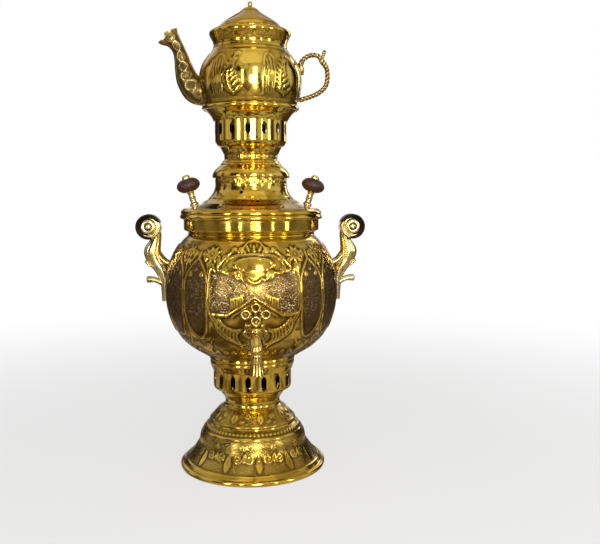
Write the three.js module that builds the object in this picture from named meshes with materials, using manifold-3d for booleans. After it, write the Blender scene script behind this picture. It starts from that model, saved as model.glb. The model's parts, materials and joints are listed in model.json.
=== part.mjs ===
// A Persian brass samovar with its teapot: a spun and chased urn round a fire tube, a plug tap,
// a lift-off lid with two wooden knobs, a pierced crown, and a teapot that stands on the crown.
// Millimetres, +Z up. The foot stands on z = 0 and the tap points along -Y.
import * as THREE from 'three';
import { mergeVertices } from 'three/addons/utils/BufferGeometryUtils.js';
import Module from 'manifold-3d';

const wasm = await Module();
wasm.setup();

// Sheet metal, clearances and facets
const sheet = 1.3;
const seatGap = 0.3;
const boltGap = 0.3;
const largeSides = 24;
const mediumSides = 20;
const tubeSides = 16;
const smallSides = 12;
const boreSides = 8;

// Foot: a bell that rises from a rolled rim to a narrow waist
const footHeight = 93;
const footRimRadius = 88;
const footRimHeight = 6;
const footRimWidth = 7;
const footShoulderRadius = 63;
const footShoulderHeight = 40.5;
const footBeadRadius = 51.4;
const footBeadHeight = 58;
const waistRadius = 33;
const waistHeight = 79;
const footTopRadius = 39.4;

// Air gallery: the pierced drum that feeds air to the fire
const galleryHeight = 26.5;
const galleryRadius = 47.2;
const galleryCurveHeight = 5;
const galleryVents = 16;
const ventWidth = 6.4;
const ventHeight = 16;
const ventTipHeight = 3.4;
const galleryVentMiddle = 14;
const galleryTurn = -7.9;

// Collar between the gallery and the tank
const collarHeight = 17;
const collarRadius = 51.4;

// Tank: a flattened ball
const bellyRadius = 103;
const tankFootRadius = 52.62;
const tankTopRadius = 75.59;
const bellyCentreHeight = 76.8;
const bellyPower = 2.25;
const tankHeight = 144.5;

// Neck ring that the lid rests on
const neckHeight = 24;
const neckBandRadius = 80.4;
const neckBandHeight = 11;
const neckMouthRadius = 77;
const neckRimRadius = 84.7;
const neckRimHeight = 6;

// Fire tube and grate
const chamberRadius = 40;
const chamberHeight = 66;
const chamberDrop = 20;
const tubeConeHeight = 27;
const tubeRadius = 28;
const tubeRise = 21;
const seamWidth = 3.5;
const grateLedge = 5;
const grateThickness = 3;
const grateBars = 6;
const grateSlotWidth = 6;

// Lid
const lidHeight = 45.4;
const lidRimRadius = 83.8;
const lidRimHeight = 8;
const lidNeckRadius = 42.4;
const lidFlangeDepth = 8;
const knobRadius = 67;
const knobTilt = 17;
const knobSeatHeight = 10.4;
const knobSeatWidth = 16;
const ventHoleRadius = 1.8;
const lowVent = { radius: 54, turn: 5.4 };
const highVent = { radius: 45, turn: -16.3 };

// Lid knobs
const stemLength = 16;
const stemRadius = 3.8;
const stemCollarRadius = 5.4;
const stemCollarHeight = 3;
const studRadius = 2.4;
const woodRadius = 14;
const woodThickness = 15.5;
const capRadius = 5;
const capHeight = 4.4;
const knobNutRadius = 5;
const knobNutHeight = 3.5;

// Crown
const crownSkirtRadius = 46;
const crownSkirtDrop = 3;
const crownBaseHeight = 32.4;
const crownWaistRadius = 31.4;
const crownNeckRadius = 35.8;
const crownGalleryHeight = 30.2;
const crownGalleryRadius = 42.2;
const crownMouldingHeight = 8;
const crownVents = 14;
const crownVentHeight = 15;
const crownTurn = -6;

// Teapot
const potStepDepth = 6;
const potStepWidth = 1.6;
const potFootClearance = 0.4;
const potConeLip = 2.1;
const potConeHeight = 12.6;
const potRingWall = 1.6;
const potRingHeight = 5.8;
const potRadius = 60.2;
const potBelow = 66;
const potAbove = 51;
const potCentreHeight = 46.4;
const potShoulderHeight = 79;
const potNeckRadius = 42.7;
const potNeckHeight = 86.5;
const potRimRadius = 47.8;
const potHeight = 103.8;
const potMouthRadius = 40;
const potWall = 1.3;
const strainerHoleRadius = 2.2;
const strainerPitch = 6.2;

// Teapot lid and finial
const potLidHeight = 27.4;
const potLidRadius = 41.8;
const potLidTopRadius = 5.6;
const potLidCollarDepth = 9;
const potLidCollarWall = 1.2;
const potLidCollarInset = 8;
const finialHeight = 7;
const finialBallRadius = 3.1;
const finialStemRadius = 2.2;
const finialPinRadius = 1.5;
const finialPinLength = 6;
const finialNutRadius = 3.6;
const finialNutHeight = 2.4;

// Tap
const tapDrop = 35.3;
const plugProud = 27;
const spoutOut = 17;
const shankRadius = 7;
const shankInside = 16;
const waterwayRadius = 3.6;
const barrelRadius = 10.2;
const barrelHeight = 20;
const plugTopRadius = 6.4;
const plugBottomRadius = 5.2;
const plugGap = 0.25;
const spoutPipeRadius = 7;
const nozzleRadius = 9;
const nozzleDrop = 34;
const nozzleLength = 22;
const rosetteRadius = 14.6;
const rosetteThickness = 2;
const rosetteLobes = 8;
const tapNutRadius = 12;
const tapNutHeight = 6;
const gasketRadius = 12;
const gasketThickness = 2;

// Tap key: four rings on a stem, cast in one with the plug
const keyLobeRadius = 6.1;
const keyLobeAcross = 10.5;
const keyLobeUp = 7;
const keyNeck = 2.8;
const keyThickness = 5;
const keyHoleRadius = 2.1;
const plugPinRadius = 3;
const plugWasherRadius = 6;
const plugWasherHeight = 1.4;
const plugNutRadius = 5.2;
const plugNutHeight = 3.6;

// Scroll handles
const volutePlace = { out: 121.2, up: 290 };
const voluteRadius = 14.8;
const voluteDepth = 24;
const scrollDepth = 16;
const handleBoltRadius = 3;
const handleBoltHeights = [237, 208];
const handleBoltLength = 11;
const handleNutRadius = 6;
const handleNutHeight = 4.5;
const handleWasherRadius = 8;
const handleWasherThickness = 2;

// Teapot spout and handle
const spoutWall = 1.5;
const potHandleThickness = 5.6;
const potHandleDepth = 7;
const rivetRadius = 1.6;
const rivetHeadRadius = 3.2;
const rivetHeadHeight = 1.2;
const rivetReach = 3;

// Levels that the sizes above settle
const galleryBase = footHeight;
const collarBase = galleryBase + galleryHeight;
const tankBase = collarBase + collarHeight;
const bellyCentre = tankBase + bellyCentreHeight;
const bellyBelow = bellyReach(tankFootRadius, bellyCentreHeight);
const bellyAbove = bellyReach(tankTopRadius, tankHeight - bellyCentreHeight);
const neckBase = tankBase + tankHeight;
const lidBase = neckBase + neckHeight;
const crownSeat = lidBase + lidHeight;
const crownGalleryBase = crownSeat + crownBaseHeight;
const potSeat = crownGalleryBase + crownGalleryHeight;
const potRim = potSeat + potHeight;
const potLidTop = potRim + potLidHeight;
const studBore = studRadius + boltGap;
const tapHeight = bellyCentre - tapDrop;
const plugReach = bellyRadius + plugProud;
const spoutReach = plugReach + spoutOut;
const nozzleHeight = tapHeight - nozzleDrop;

// The samovar's axis stands behind the middle of the base rectangle by half the tap's overhang.
const axisY = (spoutReach + nozzleRadius - bellyRadius) / 2;

const brass = { color: 0xb8902e, roughness: 0.22, metalness: 1 };
const finishes = {
  brass: new THREE.MeshStandardMaterial(brass),
  castBrass: new THREE.MeshStandardMaterial({ ...brass, color: 0xa8863c, roughness: 0.3 }),
  steel: new THREE.MeshStandardMaterial({ color: 0x8c8a86, roughness: 0.4, metalness: 1 }),
  iron: new THREE.MeshStandardMaterial({ color: 0x2b2a29, roughness: 0.7, metalness: 0.6 }),
  wood: new THREE.MeshStandardMaterial({ color: 0x3a1d14, roughness: 0.45, metalness: 0 }),
  fibre: new THREE.MeshStandardMaterial({ color: 0x6b3a22, roughness: 0.8, metalness: 0 }),
};

// Solids and meshes
function toSolid(geometry) {
  const bare = geometry.index ? geometry.toNonIndexed() : geometry.clone();
  bare.deleteAttribute('normal');
  bare.deleteAttribute('uv');
  const merged = mergeVertices(bare, 1e-3);
  const vertProperties = merged.attributes.position.array;
  const triVerts = new Uint32Array(merged.index.array);
  return new wasm.Manifold(new wasm.Mesh({ numProp: 3, vertProperties, triVerts }));
}

function toGeometry(solid) {
  const { numProp, numVert, vertProperties, triVerts } = solid.getMesh();
  const positions = new Float32Array(numVert * 3);
  for (let i = 0; i < numVert; i++) {
    positions.set(vertProperties.subarray(i * numProp, i * numProp + 3), i * 3);
  }
  const geometry = new THREE.BufferGeometry();
  geometry.setAttribute('position', new THREE.BufferAttribute(positions, 3));
  geometry.setIndex(new THREE.BufferAttribute(triVerts, 1));
  return geometry;
}

const join = (...parts) => parts.reduce((a, b) => a.add(b));
const cut = (body, ...tools) => tools.reduce((a, b) => a.subtract(b), body);

function place(parent, name, solid, finish) {
  const geometry = toGeometry(solid);
  geometry.computeVertexNormals();
  const mesh = new THREE.Mesh(geometry, finish);
  mesh.name = name;
  parent.add(mesh);
  return mesh;
}

// Profiles: points [radius, height] revolved round +Z
function revolve(profile, sides = largeSides) {
  const points = profile.map(([r, z]) => new THREE.Vector2(Math.max(r, 0), z));
  if (THREE.ShapeUtils.area(points) < 0) points.reverse();
  points.push(points[0].clone());
  const geometry = new THREE.LatheGeometry(points, sides);
  geometry.rotateX(Math.PI / 2);
  return toSolid(geometry);
}

// A smooth run through a few points
function smooth(points, steps) {
  const curve = new THREE.SplineCurve(points.map(([r, z]) => new THREE.Vector2(r, z)));
  return curve.getPoints(steps).map((p) => [p.x, p.y]);
}

// The points of an outline moved sideways: towards the axis for an outline drawn upwards
function offset(points, distance) {
  return points.map(([r, z], i) => {
    const before = points[Math.max(i - 1, 0)];
    const after = points[Math.min(i + 1, points.length - 1)];
    const a = new THREE.Vector2(r - before[0], z - before[1]).normalize();
    const b = new THREE.Vector2(after[0] - r, after[1] - z).normalize();
    const along = a.clone().add(b).normalize();
    const spread = Math.max(along.dot(i > 0 ? a : b), 0.5);
    return [r - (along.y * distance) / spread, z + (along.x * distance) / spread];
  });
}

// The radius of an outline at a height
function radiusAlong(outline, height) {
  const i = outline.findIndex(([, z], k) => k > 0 && z >= height);
  const [r0, z0] = outline[i - 1];
  const [r1, z1] = outline[i];
  return THREE.MathUtils.mapLinear(height, z0, z1, r0, r1);
}

const everySecond = (points) => points.filter((_, i) => i % 2 === 0);

// A wall behind an outline, cut level at both ends
function wallOf(outline, wall = sheet) {
  const inside = offset(outline, wall);
  inside[0][1] = outline[0][1];
  inside[inside.length - 1][1] = outline[outline.length - 1][1];
  return [...outline, ...inside.reverse()];
}

// A straight bar or bore along an axis, from one end to the other
function rod(from, to, radius, sides = smallSides, endRadius = radius) {
  const start = new THREE.Vector3(...from);
  const run = new THREE.Vector3(...to).sub(start);
  const geometry = new THREE.CylinderGeometry(endRadius, radius, run.length(), sides);
  geometry.translate(0, run.length() / 2, 0);
  const turn = new THREE.Quaternion().setFromUnitVectors(
    new THREE.Vector3(0, 1, 0),
    run.clone().normalize(),
  );
  geometry.applyQuaternion(turn);
  geometry.translate(start.x, start.y, start.z);
  return toSolid(geometry);
}

function turned(solid, { tilt = 0, about = 'y', spin = 0, move = [0, 0, 0] }) {
  const geometry = toGeometry(solid);
  if (about === 'y') geometry.rotateY(THREE.MathUtils.degToRad(tilt));
  if (about === 'x') geometry.rotateX(THREE.MathUtils.degToRad(tilt));
  geometry.rotateZ(THREE.MathUtils.degToRad(spin));
  geometry.translate(...move);
  return toSolid(geometry);
}

// A hexagon nut round +Z, with its bore
function hexNut(cornerRadius, bore, height, sides = boreSides) {
  const shape = new THREE.Shape();
  for (let i = 0; i < 6; i++) {
    const a = (i * Math.PI) / 3;
    shape[i ? 'lineTo' : 'moveTo'](cornerRadius * Math.cos(a), cornerRadius * Math.sin(a));
  }
  shape.holes.push(new THREE.Path().absarc(0, 0, bore, 0, 2 * Math.PI, true));
  const flat = { depth: height, bevelEnabled: false, curveSegments: sides / 2 };
  return toSolid(new THREE.ExtrudeGeometry(shape, flat));
}

// A skin over rings of equal numbers of points, closed at both ends
function skin(rings) {
  const sides = rings[0].length;
  const positions = rings.flat().flat();
  const index = [];
  const corner = (ring, i) => ring * sides + (i % sides);
  for (let ring = 0; ring < rings.length - 1; ring++) {
    for (let i = 0; i < sides; i++) {
      index.push(corner(ring, i), corner(ring, i + 1), corner(ring + 1, i + 1));
      index.push(corner(ring, i), corner(ring + 1, i + 1), corner(ring + 1, i));
    }
  }
  const last = rings.length - 1;
  for (let i = 1; i < sides - 1; i++) {
    index.push(corner(0, 0), corner(0, i + 1), corner(0, i));
    index.push(corner(last, 0), corner(last, i), corner(last, i + 1));
  }
  const geometry = new THREE.BufferGeometry();
  geometry.setAttribute('position', new THREE.Float32BufferAttribute(positions, 3));
  geometry.setIndex(index);
  const solid = toSolid(geometry);
  if (solid.volume() > 0) return solid;
  geometry.setIndex(index.reverse());
  return toSolid(geometry);
}

// A bent bar that lies in the XZ plane. Stations are [x, z, width in the plane, depth along Y].
function bentBar(stations, { steps, sides = 10, squareness = 1 }) {
  const line = new THREE.CatmullRomCurve3(
    stations.map(([x, z]) => new THREE.Vector3(x, 0, z)),
    false,
    'centripetal',
  );
  const size = (t, k) => {
    const at = t * (stations.length - 1);
    const i = Math.min(Math.floor(at), stations.length - 2);
    return THREE.MathUtils.lerp(stations[i][k], stations[i + 1][k], at - i) / 2;
  };
  const rings = [];
  for (let step = 0; step <= steps; step++) {
    const t = step / steps;
    const point = line.getPoint(t);
    const along = line.getTangent(t);
    const side = new THREE.Vector3(-along.z, 0, along.x);
    const ring = [];
    for (let i = 0; i < sides; i++) {
      const a = ((i + 0.5) * 2 * Math.PI) / sides;
      const bulge = (v) => Math.sign(v) * Math.abs(v) ** squareness;
      const spot = point.clone().addScaledVector(side, bulge(Math.cos(a)) * size(t, 2));
      ring.push([spot.x, bulge(Math.sin(a)) * size(t, 3), spot.z]);
    }
    rings.push(ring);
  }
  return skin(rings);
}

// A pierced drum: vents pointed at both ends, one on every second facet, the first at a given turn
function pierced(outline, { count, radius, middle, height, turn }) {
  const pitch = 360 / count;
  const tip = height / 2;
  const shoulder = tip - ventTipHeight;
  const side = ventWidth / 2;
  const shape = new THREE.Shape();
  shape.moveTo(0, -tip);
  shape.lineTo(side, -shoulder);
  shape.lineTo(side, shoulder);
  shape.lineTo(0, tip);
  shape.lineTo(-side, shoulder);
  shape.lineTo(-side, -shoulder);
  const cutters = [];
  for (let i = 0; i < count; i++) {
    const geometry = new THREE.ExtrudeGeometry(shape, { depth: 4 * sheet, bevelEnabled: false });
    geometry.rotateX(Math.PI / 2);
    geometry.translate(0, -radius + 2 * sheet, middle);
    geometry.rotateZ(THREE.MathUtils.degToRad((i + 0.25) * pitch));
    cutters.push(toSolid(geometry));
  }
  const drum = cut(revolve(wallOf(outline), 2 * count), ...cutters);
  return turned(drum, { spin: turn - 0.25 * pitch });
}

// Outlines that more than one piece needs
function bellyOutline() {
  const bottom = -Math.asin(bellyCentreHeight / bellyBelow);
  const top = Math.asin((neckBase - bellyCentre) / bellyAbove);
  const below = 4;
  const above = 6;
  const outline = [];
  for (let i = -below; i <= above; i++) {
    const a = i < 0 ? (bottom * -i) / below : (top * i) / above;
    const z = bellyCentre + (a < 0 ? bellyBelow : bellyAbove) * Math.sin(a);
    outline.push([bellyRadiusAt(z), z]);
  }
  return outline;
}

// How far the belly's curve would run to its pole, when it has this radius at this distance
function bellyReach(radius, distance) {
  return distance / (1 - (radius / bellyRadius) ** bellyPower) ** (1 / bellyPower);
}

function bellyRadiusAt(z) {
  const reach = z < bellyCentre ? bellyBelow : bellyAbove;
  const share = Math.min(Math.abs(z - bellyCentre) / reach, 1);
  return bellyRadius * (1 - share ** bellyPower) ** (1 / bellyPower);
}

// What an outline encloses, for trimming what lies against it
const filled = (outline) =>
  revolve([[0, outline[0][1]], ...outline, [0, outline[outline.length - 1][1]]]);

const bellyGrown = (distance) => filled(offset(bellyOutline(), -distance));
const tankInside = () => everySecond(offset(bellyOutline(), sheet));
const cavityShrunk = (distance) => filled(offset(tankInside(), distance));

const potInside = () => everySecond(offset(potOutline(), potWall));

function potRadiusAt(height) {
  const reach = height < potCentreHeight ? potBelow : potAbove;
  return potRadius * Math.sqrt(1 - ((height - potCentreHeight) / reach) ** 2);
}

// The cone's upper edge stands a little wider than the belly above it
const potConeTopRadius = () => potRadiusAt(potConeHeight) + potConeLip;

function potOutline() {
  const beltTop = potConeHeight + potRingHeight;
  const belly = [];
  const steps = 6;
  for (let i = 0; i <= steps; i++) {
    const height = THREE.MathUtils.lerp(beltTop, potShoulderHeight, i / steps);
    belly.push([potRadiusAt(height), potSeat + height]);
  }
  const neck = smooth(
    [
      belly[belly.length - 1],
      [potNeckRadius + 0.4, potSeat + potNeckHeight - 3],
      [potNeckRadius + 0.3, potSeat + potNeckHeight + 2],
      [potRimRadius - 2, potRim - 8],
      [potRimRadius, potRim - 4.5],
      [potRimRadius - 0.8, potRim - 1.6],
      [potRimRadius - 3, potRim],
    ],
    6,
  ).slice(1);
  return [...belly, ...neck];
}

// Foot: a bell with a rolled heel, a shoulder, a bead and a waist, open below
function footSolid() {
  const bell = smooth(
    [
      [footRimRadius - 4, footRimHeight + 1.5],
      [footRimRadius - 12.5, footRimHeight + 9],
      [footShoulderRadius + 3, footShoulderHeight - 12],
      [footShoulderRadius, footShoulderHeight],
      [footShoulderRadius - 5.5, footShoulderHeight + 8.5],
      [footBeadRadius - 0.5, footBeadHeight - 3],
    ],
    5,
  );
  const bead = [
    [footBeadRadius + 0.6, footBeadHeight - 1.6],
    [footBeadRadius + 0.4, footBeadHeight + 1],
  ];
  const neck = [
    [footBeadRadius - 4, footBeadHeight + 4.5],
    [waistRadius + 7.6, waistHeight - 9],
    [waistRadius + 0.6, waistHeight - 3],
    [waistRadius + 0.2, waistHeight + 3],
    [footTopRadius - 1.4, footHeight - 3],
    [footTopRadius, footHeight],
  ];
  const inside = offset([...bell, ...neck], sheet);
  inside[inside.length - 1][1] = footHeight;
  const heel = footRimRadius - footRimWidth;
  return revolve([
    [heel, 0],
    [footRimRadius - 1.6, 0],
    [footRimRadius, footRimHeight / 2],
    [footRimRadius - 1.6, footRimHeight],
    ...bell,
    ...bead,
    ...neck,
    ...inside.reverse(),
    [heel, footRimHeight],
  ]);
}

// Air gallery: a curved foot and a drum with pointed vents
function gallerySolid() {
  const outline = [
    [footTopRadius, galleryBase],
    [footTopRadius + 4.6, galleryBase + galleryCurveHeight * 0.35],
    [galleryRadius, galleryBase + galleryCurveHeight],
    [galleryRadius, collarBase],
  ];
  return pierced(outline, {
    count: galleryVents,
    radius: galleryRadius,
    middle: galleryBase + galleryVentMiddle,
    height: ventHeight,
    turn: galleryTurn,
  });
}

// Collar: a curved moulding that carries the tank
function collarSolid() {
  const outline = [
    [galleryRadius + 0.4, collarBase],
    [galleryRadius + 2.6, collarBase + collarHeight * 0.2],
    [collarRadius - 0.4, collarBase + collarHeight * 0.55],
    [collarRadius, tankBase],
  ];
  return revolve(wallOf(outline), mediumSides);
}

// Tank, with holes for the fire tube, the tap and the handle bolts
function tankSolid() {
  const outline = bellyOutline();
  const inside = tankInside();
  const hole = chamberRadius + 2 * seatGap;
  const floorRadius = bellyRadiusAt(tankBase + sheet) - 1.6 * sheet;
  const shell = revolve([
    [hole, tankBase],
    ...outline,
    [outline[outline.length - 1][0] - sheet, neckBase],
    ...inside.slice(1, -1).reverse(),
    [floorRadius, tankBase + sheet],
    [hole, tankBase + sheet],
  ]);
  const reach = bellyRadius + boltGap;
  const bolt = handleBoltRadius + boltGap;
  const bores = handleBoltHeights.map((z) => rod([-reach, 0, z], [reach, 0, z], bolt, boreSides));
  const tapBore = rod([0, -reach, tapHeight], [0, 0, tapHeight], shankRadius + boltGap);
  return cut(shell, tapBore, ...bores);
}

// Neck ring: a band between two beads, with a flat rim for the lid
function neckSolid() {
  const start = bellyRadiusAt(neckBase);
  const bandTop = lidBase - neckRimHeight;
  const bandBase = bandTop - neckBandHeight;
  return revolve([
    [start, neckBase],
    [start - 0.4, neckBase + 1.6],
    [start + 1.6, neckBase + 4],
    [neckBandRadius, bandBase],
    [neckBandRadius, bandTop],
    [neckRimRadius - 1, bandTop + 0.8],
    [neckRimRadius, bandTop + neckRimHeight / 2],
    [neckRimRadius - 1.2, lidBase],
    [neckMouthRadius, lidBase],
    [neckMouthRadius, lidBase - sheet],
    [neckBandRadius - sheet, bandTop],
    [neckBandRadius - sheet, bandBase],
    [start - 0.4 - sheet, neckBase + 1.6],
    [start - sheet, neckBase],
  ]);
}

// Fire tube: a wide fire chamber that narrows to a chimney, with a ledge for the grate
function fireTubeSolid() {
  const base = tankBase - chamberDrop;
  const coneBase = base + chamberHeight;
  const coneTop = coneBase + tubeConeHeight;
  const inner = chamberRadius - sheet;
  const cone = smooth(
    [
      [chamberRadius, coneBase],
      [chamberRadius - 2.5, coneBase + tubeConeHeight * 0.3],
      [tubeRadius + 2, coneTop - tubeConeHeight * 0.22],
      [tubeRadius, coneTop],
    ],
    3,
  );
  const outline = [...cone, [tubeRadius, crownSeat + tubeRise]];
  return revolve(
    [
      [chamberRadius, base],
      [chamberRadius, tankBase - sheet],
      [chamberRadius + seamWidth, tankBase - sheet],
      [chamberRadius + seamWidth, tankBase],
      [chamberRadius, tankBase],
      ...outline,
      ...offset(outline, sheet).reverse(),
      [inner, base + sheet],
      [inner - grateLedge, base + sheet],
      [inner - grateLedge, base],
    ],
    tubeSides,
  );
}

// Grate: an iron disc with slots, on the ledge of the fire chamber
function grateSolid() {
  const radius = chamberRadius - sheet - 2 * seatGap;
  const base = tankBase - chamberDrop + sheet;
  const disc = rod([0, 0, base], [0, 0, base + grateThickness], radius, tubeSides);
  const slots = [];
  const pitch = (2 * radius) / (grateBars + 1);
  for (let i = 0; i < grateBars; i++) {
    const x = (i - (grateBars - 1) / 2) * pitch;
    const reach = Math.sqrt((radius - 5) ** 2 - (Math.abs(x) + grateSlotWidth / 2) ** 2);
    const slot = new THREE.BoxGeometry(grateSlotWidth, 2 * reach, 3 * grateThickness);
    slot.translate(x, 0, base);
    slots.push(toSolid(slot));
  }
  return cut(disc, ...slots);
}

// Lid: a rim, a conical seat for the knobs, an ogee and a neck turned in round the fire tube
const knobSeat = { r: knobRadius, z: lidBase + knobSeatHeight };
const knobSlope = Math.tan(THREE.MathUtils.degToRad(knobTilt));
const lidConeAt = (r) => knobSeat.z + (knobSeat.r - r) * knobSlope;

function lidSolid() {
  const outer = knobRadius + knobSeatWidth / 2;
  const inner = knobRadius - knobSeatWidth / 2;
  const ogee = smooth(
    [
      [inner, lidConeAt(inner)],
      [inner - 7.5, lidConeAt(inner) + 4.6],
      [lidNeckRadius + 2.2, lidBase + lidHeight - 19],
      [lidNeckRadius, lidBase + lidHeight - 12],
    ],
    4,
  );
  const flange = neckMouthRadius - seatGap;
  const tubeHole = tubeRadius + 2 * seatGap;
  const shell = revolve([
    [lidRimRadius - 1, lidBase],
    [lidRimRadius, lidBase + 1.6],
    [lidRimRadius - 1.6, lidBase + lidRimHeight * 0.7],
    [outer, lidConeAt(outer)],
    ...ogee,
    [lidNeckRadius, crownSeat],
    [tubeHole, crownSeat],
    [tubeHole, crownSeat - sheet],
    [lidNeckRadius - sheet, crownSeat - sheet],
    ...offset(ogee, sheet).reverse(),
    [flange - sheet, lidConeAt(flange - sheet) - 1.05 * sheet],
    [flange - sheet, lidBase - lidFlangeDepth],
    [flange, lidBase - lidFlangeDepth],
    [flange, lidBase],
  ]);
  const bores = [-1, 1].map((side) => knobRod(side, -12, 12, studBore));
  const vents = [lowVent, highVent].map(({ radius, turn }) => {
    const hole = rod([0, -radius, lidBase], [0, -radius, crownSeat], ventHoleRadius, boreSides);
    return turned(hole, { spin: turn });
  });
  return cut(shell, ...bores, ...vents);
}

// Lid knobs. Each is built upright at the origin, then tilted outwards on its seat.
const knobPlace = (solid, side) =>
  turned(solid, { tilt: side * knobTilt, move: [side * knobSeat.r, 0, knobSeat.z] });

const knobRod = (side, from, to, radius) =>
  knobPlace(rod([0, 0, from], [0, 0, to], radius, boreSides), side);

function knobStemSolid() {
  const top = stemLength + seatGap;
  const studTop = top + woodThickness + capHeight * 0.6;
  const studBottom = -sheet - seatGap - knobNutHeight - 2;
  return revolve(
    [
      [0, studBottom],
      [studRadius, studBottom],
      [studRadius, seatGap],
      [stemCollarRadius, seatGap],
      [stemCollarRadius, stemCollarHeight * 0.6],
      [stemRadius, stemCollarHeight],
      [stemRadius - 0.5, stemLength / 2],
      [stemRadius + 0.9, top],
      [studRadius, top],
      [studRadius, studTop],
      [0, studTop],
    ],
    smallSides,
  );
}

function woodKnobSolid() {
  const base = stemLength + 2 * seatGap;
  const bore = studBore;
  const half = woodThickness / 2;
  const outline = smooth(
    [
      [stemRadius + 3, base],
      [woodRadius - 1.8, base + half * 0.42],
      [woodRadius, base + half],
      [woodRadius - 1.8, base + half * 1.5],
      [capRadius + 2, base + woodThickness],
    ],
    6,
  );
  const top = base + woodThickness;
  return revolve([[bore, base], ...outline, [bore, top]], smallSides);
}

function knobCapSolid() {
  const base = stemLength + woodThickness + 3 * seatGap;
  const dome = smooth(
    [
      [capRadius, base],
      [capRadius - 0.4, base + capHeight * 0.45],
      [capRadius * 0.55, base + capHeight * 0.85],
      [0, base + capHeight],
    ],
    3,
  );
  const bore = studBore;
  const depth = base + capHeight * 0.6;
  return revolve([[bore, base], ...dome, [0, depth], [bore, depth]], smallSides);
}

function knobNutSolid() {
  const nut = hexNut(knobNutRadius, studBore, knobNutHeight);
  return turned(nut, { move: [0, 0, -sheet - 2 * seatGap - knobNutHeight] });
}

// Crown base: a skirt over the lid's neck, a floor that rests on the lid, and a waist
function crownBaseSolid() {
  const waistTop = crownSeat + crownBaseHeight * 0.75;
  const skirt = smooth(
    [
      [crownSkirtRadius, crownSeat - 0.6],
      [crownSkirtRadius - 1.4, crownSeat + 3.6],
      [crownSkirtRadius - 5.4, crownSeat + 8],
      [crownNeckRadius + 0.4, crownSeat + 12],
    ],
    3,
  );
  const waist = [
    [crownWaistRadius + 2, crownSeat + 17],
    [crownWaistRadius, crownSeat + 22],
    [crownWaistRadius + 0.4, waistTop],
    [crownNeckRadius + 0.6, crownGalleryBase],
  ];
  const inside = offset([...skirt, ...waist], sheet).filter(([, z]) => z > crownSeat + sheet);
  const floorHole = tubeRadius + 2 * seatGap;
  const skirtInside = lidNeckRadius + 2 * seatGap;
  return revolve(
    [
      [crownSkirtRadius - 0.3, crownSeat - crownSkirtDrop],
      ...skirt,
      ...waist,
      [crownNeckRadius + 0.6 - sheet, crownGalleryBase],
      ...inside.slice(0, -1).reverse(),
      [inside[0][0], crownSeat + sheet],
      [floorHole, crownSeat + sheet],
      [floorHole, crownSeat],
      [skirtInside, crownSeat],
      [skirtInside, crownSeat - crownSkirtDrop],
    ],
    mediumSides,
  );
}

// Crown gallery: a pierced drum whose top edge carries the teapot
function crownGallerySolid() {
  const base = crownGalleryBase;
  const drumBase = base + crownMouldingHeight;
  const outline = [
    [crownNeckRadius + 0.6, base],
    [crownNeckRadius + 4.2, base + crownMouldingHeight * 0.35],
    [crownGalleryRadius, drumBase],
    [crownGalleryRadius, potSeat],
  ];
  return pierced(outline, {
    count: crownVents,
    radius: crownGalleryRadius,
    middle: (drumBase + potSeat) / 2 + 1.5,
    height: crownVentHeight,
    turn: crownTurn,
  });
}

// Teapot foot: a step that rests on the crown's edge, a shallow pan inside the crown, and a cone
function potFootSolid() {
  const panRadius = crownGalleryRadius - sheet - potFootClearance;
  const panBase = potSeat - potStepDepth;
  const step = crownGalleryRadius + potStepWidth;
  const coneTop = potSeat + potConeHeight;
  return revolve(
    [
      [0, panBase],
      [panRadius, panBase],
      [panRadius, potSeat],
      [step, potSeat],
      [potConeTopRadius(), coneTop],
      [potConeTopRadius() - 1.5 * potWall, coneTop],
      [step - potWall, potSeat + potWall],
      [panRadius - potWall, potSeat],
      [panRadius - potWall, panBase + potWall],
      [0, panBase + potWall],
    ],
    mediumSides,
  );
}

// Teapot body: belly, neck and flared rim, open at both ends, with a strainer behind the spout
function potSolid() {
  const base = potConeHeight + seatGap;
  const start = potRadiusAt(base);
  const body = revolve(
    [
      [start, potSeat + base],
      ...potOutline(),
      [potMouthRadius, potRim],
      ...potInside().filter(([, z]) => z < potRim - potLidCollarDepth).reverse(),
      [start - potWall, potSeat + base],
    ],
    mediumSides,
  );
  const reach = potRadius + 6;
  const holes = [];
  for (let row = -1; row <= 1; row++) {
    const across = row === 0 ? [-1, 0, 1] : [-0.5, 0.5];
    for (const column of across) {
      const y = column * strainerPitch;
      const z = potSpoutRoot().z + row * strainerPitch * Math.sin(Math.PI / 3);
      holes.push(rod([-reach, y, z], [-potRadius / 2, y, z], strainerHoleRadius, 6));
    }
  }
  return cut(body, ...holes, ...potHandleEnds().map(rivetBore));
}

// Bead over the seam between the teapot's foot and its body
function potRingSolid() {
  const base = potSeat + potConeHeight;
  const seat = Math.max(potConeTopRadius(), potRadiusAt(potConeHeight + potRingHeight)) + seatGap;
  const bead = smooth(
    [
      [seat + 0.3, base],
      [seat + potRingWall + 0.6, base + potRingHeight * 0.2],
      [seat + potRingWall + 0.9, base + potRingHeight * 0.45],
      [seat + 0.4, base + potRingHeight * 0.7],
    ],
    4,
  );
  return revolve([[seat, base], ...bead, [seat, base + potRingHeight]], mediumSides);
}

// The teapot grown by a clearance, for trimming what lies against it
function potFilled(grow) {
  const outline = potOutline().map(([r, z]) => [r + grow, z]);
  const base = potSeat + potConeHeight;
  const edge = [potConeTopRadius() + grow, base];
  return revolve([[0, base], edge, ...outline, [0, potRim]], mediumSides);
}

// Spout: a swan neck with an open beak
const potSpoutRoot = () => ({ x: -potRadius + 6, z: potSeat + potCentreHeight - 12 });

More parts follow.
